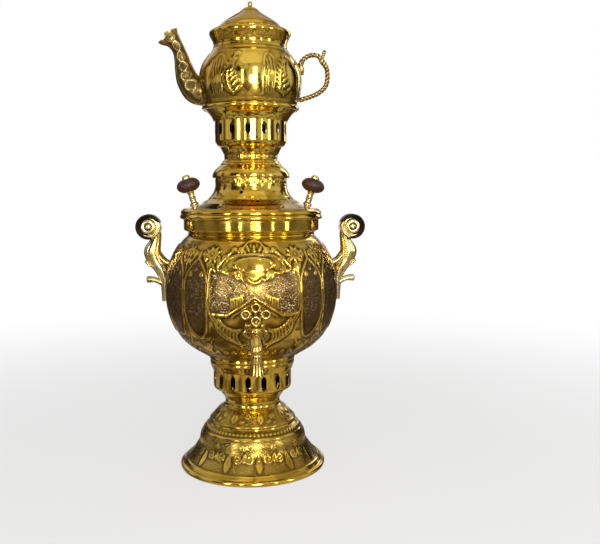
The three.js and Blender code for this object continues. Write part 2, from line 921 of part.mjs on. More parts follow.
function spoutStations(shrink) {
  const { x, z } = potSpoutRoot();
  return [
    [x, z, 33, 26],
    [x - 9, z + 1, 31, 25],
    [x - 18, z + 12, 27, 22],
    [x - 22.5, z + 25, 22, 18],
    [x - 25, z + 36, 18, 15],
    [x - 29, z + 48, 15, 13],
    [x - 34, z + 56, 17.5, 13.5],
    [x - 40, z + 62.5, 27.5, 14],
  ].map(([px, pz, wide, deep]) => [px, pz, wide - 2 * shrink, deep - 2 * shrink]);
}

function spoutSolid() {
  const outside = bentBar(spoutStations(0), { steps: 10, sides: 10 });
  const stations = spoutStations(spoutWall);
  const [tip, before] = [stations[stations.length - 1], stations[stations.length - 2]];
  const past = [2 * tip[0] - before[0], 2 * tip[1] - before[1], tip[2], tip[3]];
  const inside = bentBar([...stations, past], { steps: 11, sides: 8 });
  const { x, z } = potSpoutRoot();
  const notch = new THREE.Shape();
  notch.moveTo(x - 33.5, z + 56);
  notch.lineTo(x - 60, z + 54.5);
  notch.lineTo(x - 60, z + 73);
  notch.lineTo(x - 45.4, z + 66);
  const beak = new THREE.ExtrudeGeometry(notch, { depth: 30, bevelEnabled: false });
  beak.translate(0, 0, -15);
  beak.rotateX(Math.PI / 2);
  return cut(outside, inside, potFilled(seatGap), toSolid(beak));
}

// Teapot handle, with its thumb rest and the rivets that hold it
const potHandleEnds = () => [
  { z: potSeat + potCentreHeight + 18 },
  { z: potSeat + potCentreHeight - 21 },
];

const rivetBore = ({ z }) =>
  rod([potRadius / 2, 0, z], [potRadius + 8, 0, z], rivetRadius + boltGap / 2, boreSides);

function potHandleSolid() {
  const [upper, lower] = potHandleEnds();
  const middle = potSeat + potCentreHeight;
  const reach = potRadius + 31;
  const loop = bentBar(
    [
      [potRadius - 6, upper.z, potHandleThickness + 1, potHandleDepth + 1],
      [potRadius + 2.5, upper.z + 9, potHandleThickness, potHandleDepth],
      [potRadius + 11, upper.z + 13.6, potHandleThickness, potHandleDepth],
      [potRadius + 20, upper.z + 12.6, potHandleThickness, potHandleDepth],
      [reach - 6, upper.z + 6, potHandleThickness + 1, potHandleDepth],
      [reach - 1, middle + 16, potHandleThickness, potHandleDepth],
      [reach - 1.6, middle - 2, potHandleThickness, potHandleDepth],
      [reach - 9.5, middle - 11, potHandleThickness, potHandleDepth],
      [potRadius + 10.5, lower.z + 4.6, potHandleThickness, potHandleDepth],
      [potRadius - 8, lower.z, potHandleThickness, potHandleDepth],
    ],
    { steps: 18, sides: 6 },
  );
  const thumb = bentBar(
    [
      [reach - 8, upper.z + 6, 4, 5],
      [reach - 5.4, upper.z + 14, 4, 5],
      [reach - 4, upper.z + 19, 4.6, 5],
    ],
    { steps: 3, sides: 6 },
  );
  const pad = bentBar(
    [
      [potRadius - 4, upper.z + 4, 5, 8],
      [potRadius - 0.6, upper.z - 3, 7, 8],
      [potRadius + 0.4, upper.z - 9, 3, 4],
    ],
    { steps: 3, sides: 6 },
  );
  const bores = [upper, lower].map(rivetBore);
  return cut(join(loop, thumb, pad), potFilled(seatGap), ...bores);
}

// A rivet with its head inside the teapot and its shank in the handle
function potRivetSolid({ z }) {
  const ends = [-1, 1].map((side) => radiusAlong(potInside(), z + side * rivetHeadRadius));
  const face = Math.min(...ends) - 3 * seatGap;
  const tip = potRadiusAt(z - potSeat) + rivetReach;
  const head = rod([face - rivetHeadHeight, 0, z], [face, 0, z], rivetHeadRadius, boreSides);
  return head.add(rod([face - rivetHeadHeight / 2, 0, z], [tip, 0, z], rivetRadius, boreSides));
}

// Teapot lid, its locating collar and its finial
function potLidSolid() {
  const outline = smooth(
    [
      [potLidRadius - 2.4, potRim + 3.6],
      [potLidRadius - 9.8, potRim + 11],
      [potLidRadius - 20.6, potRim + 18.4],
      [potLidTopRadius + 8, potLidTop - 6],
      [potLidTopRadius + 1.2, potLidTop - 2.8],
      [potLidTopRadius, potLidTop],
    ],
    5,
  );
  const inside = offset(outline, potWall).filter(([r, z]) => r > 2 && z < potLidTop - potWall);
  const rim = [
    [potLidRadius, potRim],
    [potLidRadius, potRim + 1.8],
  ];
  const pin = finialPinRadius + boltGap / 2;
  return revolve(
    [
      [potLidRadius - 5, potRim],
      ...rim,
      ...outline,
      [pin, potLidTop],
      [pin, potLidTop - potWall],
      [potLidTopRadius - potWall, potLidTop - potWall],
      ...inside.reverse(),
      [potLidRadius - 5, potRim + 1.8],
    ],
    mediumSides,
  );
}

function potLidCollarSolid() {
  const outer = potMouthRadius - 2 * seatGap;
  const wall = potLidCollarWall;
  const top = potRim - seatGap;
  const lip = potLidRadius - potLidCollarInset;
  return revolve(
    [
      [outer - wall, top - potLidCollarDepth],
      [outer, top - potLidCollarDepth],
      [outer, top],
      [lip, top],
      [lip, top - wall],
      [outer - wall, top - wall],
    ],
    mediumSides,
  );
}

function finialSolid() {
  const base = potLidTop;
  const top = base + finialHeight;
  const ball = top - finialBallRadius;
  const arc = [];
  for (let i = 0; i <= 4; i++) {
    const a = THREE.MathUtils.lerp(-0.9, Math.PI / 2, i / 4);
    arc.push([finialBallRadius * Math.cos(a), ball + finialBallRadius * Math.sin(a)]);
  }
  return revolve(
    [
      [0, base - finialPinLength],
      [finialPinRadius, base - finialPinLength],
      [finialPinRadius, base],
      [finialStemRadius + 1.2, base],
      [finialStemRadius, base + 1],
      ...arc,
    ],
    smallSides,
  );
}

function finialNutSolid() {
  const nut = hexNut(finialNutRadius, finialPinRadius + boltGap, finialNutHeight);
  return turned(nut, { move: [0, 0, potLidTop - potWall - seatGap - finialNutHeight] });
}

// Tap: shank, barrel and a spout that turns down to a fluted nozzle
const barrelTop = tapHeight + barrelHeight / 2;
const barrelBase = tapHeight - barrelHeight / 2;

// The taper of plug and socket, as a radius at a height
const plugRadiusAt = (z) =>
  THREE.MathUtils.mapLinear(z, barrelBase, barrelTop, plugBottomRadius, plugTopRadius);

function spoutPath(stations, { steps, sides }) {
  return turned(bentBar(stations, { steps, sides }), { spin: 90 });
}

function tapBodySolid() {
  const inner = bellyRadiusAt(tapHeight) - shankInside;
  const shank = rod([0, -inner, tapHeight], [0, -plugReach, tapHeight], shankRadius);
  const shoulderRadius = shankRadius + 3;
  const rosetteFront = offset(bellyOutline(), -(seatGap + rosetteThickness));
  const shoulderAt = radiusAlong(rosetteFront, tapHeight + shoulderRadius) + seatGap;
  const shoulder = rod(
    [0, -shoulderAt, tapHeight],
    [0, -shoulderAt - 4, tapHeight],
    shoulderRadius,
    smallSides,
    shankRadius + 1,
  );
  const barrel = revolve(
    [
      [0, barrelBase],
      [barrelRadius - 1.8, barrelBase],
      [barrelRadius - 1.4, tapHeight - 4],
      [barrelRadius, tapHeight],
      [barrelRadius - 1.4, tapHeight + 4],
      [barrelRadius - 0.6, barrelTop],
      [0, barrelTop],
    ],
    tubeSides,
  );
  const pipe = 2 * spoutPipeRadius;
  const turnHeight = tapHeight - 9;
  const spout = spoutPath(
    [
      [-plugReach + 2, tapHeight, pipe, pipe],
      [-plugReach - 9, tapHeight - 0.5, pipe, pipe],
      [-spoutReach + 0.8, turnHeight, pipe - 1, pipe],
      [-spoutReach, nozzleHeight + nozzleLength, pipe - 2.5, pipe - 2],
      [-spoutReach, nozzleHeight + nozzleLength * 0.6, pipe + 1, pipe + 1],
      [-spoutReach, nozzleHeight, 2 * nozzleRadius, 2 * nozzleRadius],
    ],
    { steps: 8, sides: 10 },
  );
  const bore = 2 * waterwayRadius;
  const waterway = spoutPath(
    [
      [-plugReach, tapHeight, bore, bore],
      [-plugReach - 9, tapHeight - 0.5, bore, bore],
      [-spoutReach + 0.8, turnHeight, bore, bore],
      [-spoutReach, nozzleHeight + nozzleLength, bore, bore],
      [-spoutReach, nozzleHeight + nozzleLength / 2, bore + 3, bore + 3],
      [-spoutReach, nozzleHeight - 5, bore + 5, bore + 5],
    ],
    { steps: 7, sides: 8 },
  );
  const inlet = rod([0, -inner + 5, tapHeight], [0, -plugReach, tapHeight], waterwayRadius, boreSides);
  const socket = rod(
    [0, 0, barrelBase - 1],
    [0, 0, barrelTop + 1],
    plugRadiusAt(barrelBase - 1) + plugGap,
    tubeSides,
    plugRadiusAt(barrelTop + 1) + plugGap,
  );
  const forward = [0, -plugReach, 0];
  return cut(
    join(shank, shoulder, turned(barrel, { move: forward }), spout),
    waterway,
    inlet,
    turned(socket, { move: forward }),
  );
}

// Key and plug in one casting. The port runs across the plug, which holds the tap shut.
function tapKeySolid() {
  const shoulder = barrelTop + seatGap;
  const pinBottom = barrelBase - seatGap - plugWasherHeight - plugNutHeight - 2;
  const plug = revolve(
    [
      [0, pinBottom],
      [plugPinRadius, pinBottom],
      [plugPinRadius, barrelBase + 1],
      [plugRadiusAt(barrelBase + 1), barrelBase + 1],
      [plugRadiusAt(barrelTop), barrelTop],
      [plugRadiusAt(barrelTop), shoulder],
      [plugTopRadius + 1.6, shoulder],
      [plugTopRadius + 1.6, shoulder + 1.4],
      [plugTopRadius - 2, shoulder + keyNeck],
      [plugTopRadius - 3, shoulder + keyNeck + keyLobeRadius / 2],
      [0, shoulder + keyNeck + keyLobeRadius / 2],
    ],
    tubeSides,
  );
  const centre = shoulder + keyNeck + keyLobeRadius + keyLobeUp;
  const lobes = [
    [0, keyLobeUp],
    [-keyLobeAcross, 0],
    [keyLobeAcross, 0],
    [0, -keyLobeUp],
  ];
  const half = keyThickness / 2;
  const discs = lobes.map(([x, z]) =>
    rod([x, -half, centre + z], [x, half, centre + z], keyLobeRadius, smallSides),
  );
  const holes = lobes.map(([x, z]) =>
    rod([x, -2 * half, centre + z], [x, 2 * half, centre + z], keyHoleRadius, boreSides),
  );
  const web = new THREE.BoxGeometry(2 * keyLobeAcross, keyThickness * 0.6, keyLobeUp);
  web.translate(0, 0, centre);
  const across = barrelRadius;
  const port = rod([-across, 0, tapHeight], [across, 0, tapHeight], waterwayRadius, boreSides);
  const key = cut(join(...discs, toSolid(web), plug), ...holes, port);
  return turned(key, { move: [0, -plugReach, 0] });
}

function plugWasherSolid() {
  const top = barrelBase - seatGap;
  const bore = plugPinRadius + boltGap;
  const washer = revolve(
    [
      [bore, top - plugWasherHeight],
      [plugWasherRadius, top - plugWasherHeight],
      [plugWasherRadius, top],
      [bore, top],
    ],
    smallSides,
  );
  return turned(washer, { move: [0, -plugReach, 0] });
}

function plugNutSolid() {
  const base = barrelBase - seatGap - plugWasherHeight - plugNutHeight;
  const nut = hexNut(plugNutRadius, plugPinRadius + boltGap, plugNutHeight);
  return turned(nut, { move: [0, -plugReach, base] });
}

// Lobed rosette pressed to the belly round the shank
function rosetteSolid() {
  const shape = new THREE.Shape();
  const steps = 4 * rosetteLobes;
  for (let i = 0; i < steps; i++) {
    const a = (i * 2 * Math.PI) / steps;
    const r = rosetteRadius * (0.94 + 0.06 * Math.cos(rosetteLobes * a));
    shape[i ? 'lineTo' : 'moveTo'](r * Math.cos(a), r * Math.sin(a));
  }
  const bore = shankRadius + boltGap;
  shape.holes.push(new THREE.Path().absarc(0, 0, bore, 0, 2 * Math.PI, true));
  const deep = { depth: 40, bevelEnabled: false, curveSegments: smallSides / 2 };
  const plate = new THREE.ExtrudeGeometry(shape, deep);
  plate.rotateX(Math.PI / 2);
  plate.translate(0, -bellyRadiusAt(tapHeight) + 20, tapHeight);
  const near = bellyGrown(seatGap + rosetteThickness);
  return toSolid(plate).intersect(near).subtract(bellyGrown(seatGap));
}

// A washer that follows the inside of the tank, cut from a rod along the bolt
const innerWasher = (rodAlong, radius, bore, thickness) =>
  cut(rodAlong(radius), rodAlong(bore), cavityShrunk(seatGap + thickness)).intersect(
    cavityShrunk(seatGap),
  );

// How far from the axis the outer face of a flat nut stands, behind such a washer
function nutFace(height, nutRadius, washerThickness) {
  const inside = tankInside();
  const near = Math.min(...[-1, 1].map((side) => radiusAlong(inside, height + side * nutRadius)));
  return Math.sqrt(near ** 2 - nutRadius ** 2) - 1.1 * washerThickness - 3 * seatGap;
}

function gasketSolid() {
  const along = (r) => rod([0, -plugReach, tapHeight], [0, -50, tapHeight], r, tubeSides);
  return innerWasher(along, gasketRadius, shankRadius + boltGap, gasketThickness);
}

function tapNutSolid() {
  const nut = hexNut(tapNutRadius, shankRadius + boltGap, tapNutHeight, smallSides);
  const face = nutFace(tapHeight, tapNutRadius, gasketThickness);
  return turned(nut, { tilt: 90, about: 'x', move: [0, -face + tapNutHeight, tapHeight] });
}

// Scroll handle: a volute on a bent stem, a curled leaf and a foot that follows the belly
function handleSolid() {
  const { out, up } = volutePlace;
  const stem = bentBar(
    [
      [out - 6, up + 2, 10, scrollDepth],
      [out - 9.4, up - 8, 10, scrollDepth],
      [out - 7, up - 19, 14, scrollDepth],
      [out - 4, up - 30, 20, scrollDepth + 2],
      [out - 7, up - 40, 17, scrollDepth + 1],
      [out - 14, up - 51, 15, scrollDepth],
      [out - 18, up - 64, 12, scrollDepth - 2],
      [out - 18, up - 76, 9, scrollDepth - 3],
      [out - 18.6, up - 89, 9, scrollDepth - 4],
    ],
    { steps: 14, sides: 8, squareness: 0.8 },
  );
  const branch = bentBar(
    [
      [out - 10, up - 33, 10, scrollDepth - 3],
      [out - 18, up - 41, 8, scrollDepth - 4],
      [out - 26, up - 45, 8, scrollDepth - 4],
    ],
    { steps: 3, sides: 8, squareness: 0.8 },
  );
  const leaf = bentBar(
    [
      [out - 15, up - 67, 7, scrollDepth - 5],
      [out - 6, up - 63, 7, scrollDepth - 5],
      [out + 2.4, up - 62.6, 8, scrollDepth - 4],
    ],
    { steps: 3, sides: 8, squareness: 0.8 },
  );
  const half = voluteDepth / 2;
  const volute = revolve(
    [
      [0, -half],
      [voluteRadius - 2.4, -half],
      [voluteRadius, -half + 2],
      [voluteRadius, half - 2],
      [voluteRadius - 2.4, half],
      [0, half],
    ],
    tubeSides,
  );
  const drum = turned(volute, { tilt: 90, about: 'x', move: [out, 0, up] });
  const bolts = handleBoltHeights.map((z) => {
    const inner = bellyRadiusAt(z) - handleBoltLength;
    return rod([inner, 0, z], [out - 18, 0, z], handleBoltRadius, boreSides);
  });
  const scroll = cut(join(stem, branch, leaf, drum), bellyGrown(seatGap));
  return join(scroll, ...bolts);
}

function handleWasherSolid(z) {
  const along = (r) => rod([60, 0, z], [bellyRadius + 5, 0, z], r, boreSides);
  return innerWasher(along, handleWasherRadius, handleBoltRadius + boltGap, handleWasherThickness);
}

function handleNutSolid(z) {
  const nut = hexNut(handleNutRadius, handleBoltRadius + boltGap, handleNutHeight);
  const face = nutFace(z, handleNutRadius, handleWasherThickness);
  return turned(nut, { tilt: 90, move: [face - handleNutHeight, 0, z] });
}

// Half a turn about the axis, for what stands on the other side
const opposite = (solid) => turned(solid, { spin: 180 });

function samovar() {
  const root = new THREE.Group();
  root.position.set(0, axisY, 0);
  const { brass: spun, castBrass: cast, steel, iron, wood, fibre } = finishes;

  place(root, 'foot', footSolid(), spun);
  place(root, 'air_gallery', gallerySolid(), spun);
  place(root, 'collar', collarSolid(), spun);
  place(root, 'tank', tankSolid(), spun);
  place(root, 'neck_ring', neckSolid(), spun);
  place(root, 'fire_tube', fireTubeSolid(), steel);
  place(root, 'fire_grate', grateSolid(), iron);

  place(root, 'handle_right', handleSolid(), cast);
  place(root, 'handle_left', opposite(handleSolid()), cast);
  ['upper', 'lower'].forEach((level, i) => {
    const z = handleBoltHeights[i];
    place(root, `handle_washer_right_${level}`, handleWasherSolid(z), fibre);
    place(root, `handle_washer_left_${level}`, opposite(handleWasherSolid(z)), fibre);
    place(root, `handle_nut_right_${level}`, handleNutSolid(z), cast);
    place(root, `handle_nut_left_${level}`, opposite(handleNutSolid(z)), cast);
  });

  place(root, 'tap_rosette', rosetteSolid(), cast);
  place(root, 'tap_body', tapBodySolid(), cast);
  place(root, 'tap_gasket', gasketSolid(), fibre);
  place(root, 'tap_shank_nut', tapNutSolid(), cast);
  place(root, 'tap_key', tapKeySolid(), cast);
  place(root, 'tap_plug_washer', plugWasherSolid(), cast);
  place(root, 'tap_plug_nut', plugNutSolid(), cast);

  place(root, 'lid', lidSolid(), spun);
  [['right', 1], ['left', -1]].forEach(([name, side]) => {
    place(root, `knob_stem_${name}`, knobPlace(knobStemSolid(), side), cast);
    place(root, `knob_${name}`, knobPlace(woodKnobSolid(), side), wood);
    place(root, `knob_cap_${name}`, knobPlace(knobCapSolid(), side), cast);
    place(root, `knob_nut_${name}`, knobPlace(knobNutSolid(), side), cast);
  });

  place(root, 'crown_base', crownBaseSolid(), spun);
  place(root, 'crown_gallery', crownGallerySolid(), spun);

  place(root, 'teapot_foot', potFootSolid(), spun);
  place(root, 'teapot_body', potSolid(), spun);
  place(root, 'teapot_ring', potRingSolid(), spun);
  place(root, 'teapot_spout', spoutSolid(), cast);
  place(root, 'teapot_handle', potHandleSolid(), cast);
  ['upper', 'lower'].forEach((level, i) => {
    place(root, `teapot_rivet_${level}`, potRivetSolid(potHandleEnds()[i]), cast);
  });

  place(root, 'teapot_lid', potLidSolid(), spun);
  place(root, 'teapot_lid_collar', potLidCollarSolid(), spun);
  place(root, 'teapot_finial', finialSolid(), cast);
  place(root, 'teapot_finial_nut', finialNutSolid(), cast);
  return root;
}

export default samovar();
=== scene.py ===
import json
import math
import bpy
import numpy as np
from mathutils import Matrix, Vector


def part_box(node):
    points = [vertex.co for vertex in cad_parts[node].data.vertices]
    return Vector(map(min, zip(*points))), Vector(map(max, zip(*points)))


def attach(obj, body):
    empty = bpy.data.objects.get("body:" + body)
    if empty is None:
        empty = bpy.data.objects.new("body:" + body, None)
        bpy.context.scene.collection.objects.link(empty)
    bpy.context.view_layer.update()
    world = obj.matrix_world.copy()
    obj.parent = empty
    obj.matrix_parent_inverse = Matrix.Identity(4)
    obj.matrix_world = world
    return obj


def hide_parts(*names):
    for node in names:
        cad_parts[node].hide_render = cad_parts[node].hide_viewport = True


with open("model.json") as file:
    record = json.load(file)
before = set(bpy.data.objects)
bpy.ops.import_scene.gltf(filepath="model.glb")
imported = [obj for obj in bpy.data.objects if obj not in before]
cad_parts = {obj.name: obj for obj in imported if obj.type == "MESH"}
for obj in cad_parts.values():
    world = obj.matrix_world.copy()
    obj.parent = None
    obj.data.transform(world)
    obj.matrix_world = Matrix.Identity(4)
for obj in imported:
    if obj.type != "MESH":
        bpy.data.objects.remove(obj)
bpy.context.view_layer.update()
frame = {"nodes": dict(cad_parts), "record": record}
low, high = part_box("foot")
axisY = 500 * (low.y + high.y)  # in mm, like every size below: the urn's axis stands behind the origin
collection = bpy.context.scene.collection
sheet = 1.3  # how thick the spun walls are


# Curves and closed meshes

def run(points, pitch):  # a smooth run through a few points, with a point about every pitch mm
    p = np.array(points, float)
    chord = np.maximum(np.linalg.norm(np.diff(p, axis=0), axis=1), 1e-6)
    at = np.concatenate([[0], np.cumsum(chord ** 0.5)])
    slope = np.gradient(p, at, axis=0) if len(p) > 2 else np.repeat((p[1:] - p[:1]) / at[1], 2, 0)
    out = []
    for i, length in enumerate(chord):
        steps = max(int(round(length / pitch)), 1)
        s = (np.arange(steps) / steps)[:, None]
        h = at[i + 1] - at[i]
        out.append((2 * s**3 - 3 * s**2 + 1) * p[i] + (s**3 - 2 * s**2 + s) * h * slope[i]
                   + (3 * s**2 - 2 * s**3) * p[i + 1] + (s**3 - s**2) * h * slope[i + 1])
    return np.concatenate(out + [p[-1:]])


def outline(first, *others, pitch=1.2):  # smooth runs with corners between; each goes on where the last ends
    line = run(first, pitch)
    for points in others:
        line = np.concatenate([line, run([line[-1], *points], pitch)[1:]])
    return line


def inset(points, distance):  # the same outline, that far towards the axis
    along = np.gradient(points, axis=0)
    along /= np.linalg.norm(along, axis=1)[:, None]
    return points + np.stack([-along[:, 1], along[:, 0]], 1) * distance


def backWall(points, rows):  # the inside of a sheet, from top to bottom, level with its ends
    inner = inset(points, sheet)[np.linspace(0, len(points) - 1, rows).round().astype(int)]
    inner[0, 1], inner[-1, 1] = points[0, 1], points[-1, 1]
    return inner[::-1]


def meshPiece(name, points, faces, marks=None, crease=50):
    mesh = bpy.data.meshes.new(name)
    mesh.from_pydata(np.asarray(points, float) * 0.001, [], faces)
    for mark, values in (marks or {}).items():
        mesh.attributes.new(mark, "FLOAT", "POINT").data.foreach_set("value", np.asarray(values, np.float32))
    mesh.shade_smooth()
    mesh.set_sharp_from_angle(angle=math.radians(crease))
    piece = bpy.data.objects.new(name, mesh)
    collection.objects.link(piece)
    return piece


def loops(rows, sides, closed):  # faces over rows of points; a row of one point is a tip
    starts = np.concatenate([[0], np.cumsum([len(row) for row in rows])])
    j = np.arange(sides)
    k = (j + 1) % sides
    faces = []
    for i in range(len(rows) if closed else len(rows) - 1):
        a, b = starts[i], starts[(i + 1) % len(rows)]
        first, second = len(rows[i]), len(rows[(i + 1) % len(rows)])
        if first > 1 and second > 1:
            faces += np.stack([a + j, a + k, b + k, b + j], 1).tolist()
        elif first > 1:
            faces += np.stack([a + j, a + k, np.full(sides, b)], 1).tolist()
        elif second > 1:
            faces += np.stack([np.full(sides, a), b + k, b + j], 1).tolist()
    return faces


def spin(name, outside, inside=(), columns=128, chasing=None, soot=False):
    # outside runs upwards, inside back down; without an inside the outline starts and ends on the axis
    turns = chasing.turns if chasing else np.arange(columns) * 2 * math.pi / columns
    heights = chasing.softened() if chasing else np.zeros((len(outside), len(turns)))
    along = np.gradient(outside, axis=0)
    step = np.maximum(np.linalg.norm(along, axis=1), 1e-9)
    along /= step[:, None]
    bend = np.gradient(along, axis=0) / step[:, None]
    dirt = np.clip(bend[:, 1] * -along[:, 0] + bend[:, 0] * along[:, 1], 0, 0.6)  # old polish in the creases
    rows, marks = [], {"patinaAndShade": [], "matting": [], "soot": []}
    for i, (r, z) in enumerate(np.concatenate([outside, inside]) if len(inside) else outside):
        h = heights[i] if i < len(outside) else 0 * turns
        out, up = (along[i][1], -along[i][0]) if i < len(outside) else (0, 0)
        radius = r + h * out
        row = np.stack([radius * np.sin(turns), axisY - radius * np.cos(turns), z + h * up], 1)
        single = r < 1e-6
        rows.append(row[:1] if single else row)
        wear = dirt[i] + 0 * turns if i < len(outside) else 0 * turns
        for mark, values in (chasing.marks() if chasing else {"patinaAndShade": None}).items():
            line = values[i] if values is not None and i < len(outside) else 0 * turns
            line = np.clip(line + wear, 0, 1) if mark == "patinaAndShade" else line
            marks[mark].append(line[:1] if single else line)
        if soot:
            marks["soot"].append(np.full(1 if single else len(turns), float(i >= len(outside))))
    marks = {mark: np.concatenate(values) for mark, values in marks.items() if values}
    return meshPiece(name, np.concatenate(rows), loops(rows, len(turns), len(inside) > 0), marks)


def sweep(name, stations, sides=32, pitch=1.2, shape=None, flat="xz", dome=0.5):
    # a bar along stations [x, z, width in the plane, depth across it]; shape(t, a) scales its skin
    path = run(stations, pitch)
    along = np.gradient(path[:, :2], axis=0)
    along /= np.linalg.norm(along, axis=1)[:, None]
    a = np.arange(sides) * 2 * math.pi / sides
    rows, patinaAndShade = [], []

    def ring(i, grow, shift):
        relief = 0 * a + (shape(i / (len(path) - 1), a) if shape else 1)
        patinaAndShade.append(np.clip((1 - relief) * 9, 0, 1)[:1 if grow == 0 else sides])
        scale = grow * relief
        side = np.cos(a) * path[i, 2] / 2 * scale
        deep = np.sin(a) * path[i, 3] / 2 * scale
        x = path[i, 0] - along[i, 1] * side + along[i, 0] * shift
        z = path[i, 1] + along[i, 0] * side + along[i, 1] * shift
        return np.stack([x, axisY + deep, z] if flat == "xz" else [deep, axisY + x, z], 1)

    cap = [0.97, 0.85, 0.6]
    bulge = dome * path[:, 2] / 2
    rows += [ring(0, 0, -bulge[0])[:1]] + [ring(0, g, -bulge[0] * (1 - g * g) ** 0.5) for g in cap[::-1]]
    rows += [ring(i, 1, 0) for i in range(len(path))]
    rows += [ring(len(path) - 1, g, bulge[-1] * (1 - g * g) ** 0.5) for g in cap]
    rows += [ring(len(path) - 1, 0, bulge[-1])[:1]]
    order = loops(rows, sides, False)
    if flat != "xz":
        order = [face[::-1] for face in order]
    marks = {"patinaAndShade": np.concatenate(patinaAndShade)}
    return meshPiece(name, np.concatenate(rows), [face[::-1] for face in order], marks, 60)


def stain(piece, mark, rule):  # sets a mark from each point's place: x and y from the urn's axis, and z
    count = len(piece.data.vertices)
    spots = np.empty(3 * count)
    piece.data.vertices.foreach_get("co", spots)
    x, y, z = spots.reshape(-1, 3).T * 1000
    layer = piece.data.attributes.get(mark) or piece.data.attributes.new(mark, "FLOAT", "POINT")
    layer.data.foreach_set("value", np.asarray(rule(x, y - axisY, z), np.float32))
    return piece


def rod(radius, bottom, top, columns=16):
    profile = np.array([(0, bottom), (radius, bottom), (radius, top), (0, top)], float)
    return spin("rod", profile, columns=columns)


def turnedTo(piece, start, towards):  # lays a piece that was turned round the axis along a direction
    spot = Vector(start) * 0.001
    turn = Vector((0, 0, 1)).rotation_difference(Vector(towards).normalized()).to_matrix().to_4x4()
    for v in piece.data.vertices:
        v.co = turn @ (v.co - Vector((0, axisY * 0.001, 0))) + spot
    return piece


def combine(target, tools, operation="UNION"):
    for tool in tools:
        step = target.modifiers.new(tool.name, "BOOLEAN")
        step.operation, step.solver, step.object = operation, "MANIFOLD", tool
    ready = target.evaluated_get(bpy.context.evaluated_depsgraph_get())
    mesh = bpy.data.meshes.new_from_object(ready)
    mesh.set_sharp_from_angle(angle=math.radians(50))
    target.modifiers.clear()
    target.data = mesh
    for tool in tools:
        bpy.data.objects.remove(tool)
    return target


def dress(piece, material, body, slot, *nodes):
    piece.data.materials.clear()
    piece.data.materials.append(material)
    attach(piece, body)
    if nodes:
        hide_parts(*nodes)


# Chased ornament: heights in mm over the rows and columns of a turned surface

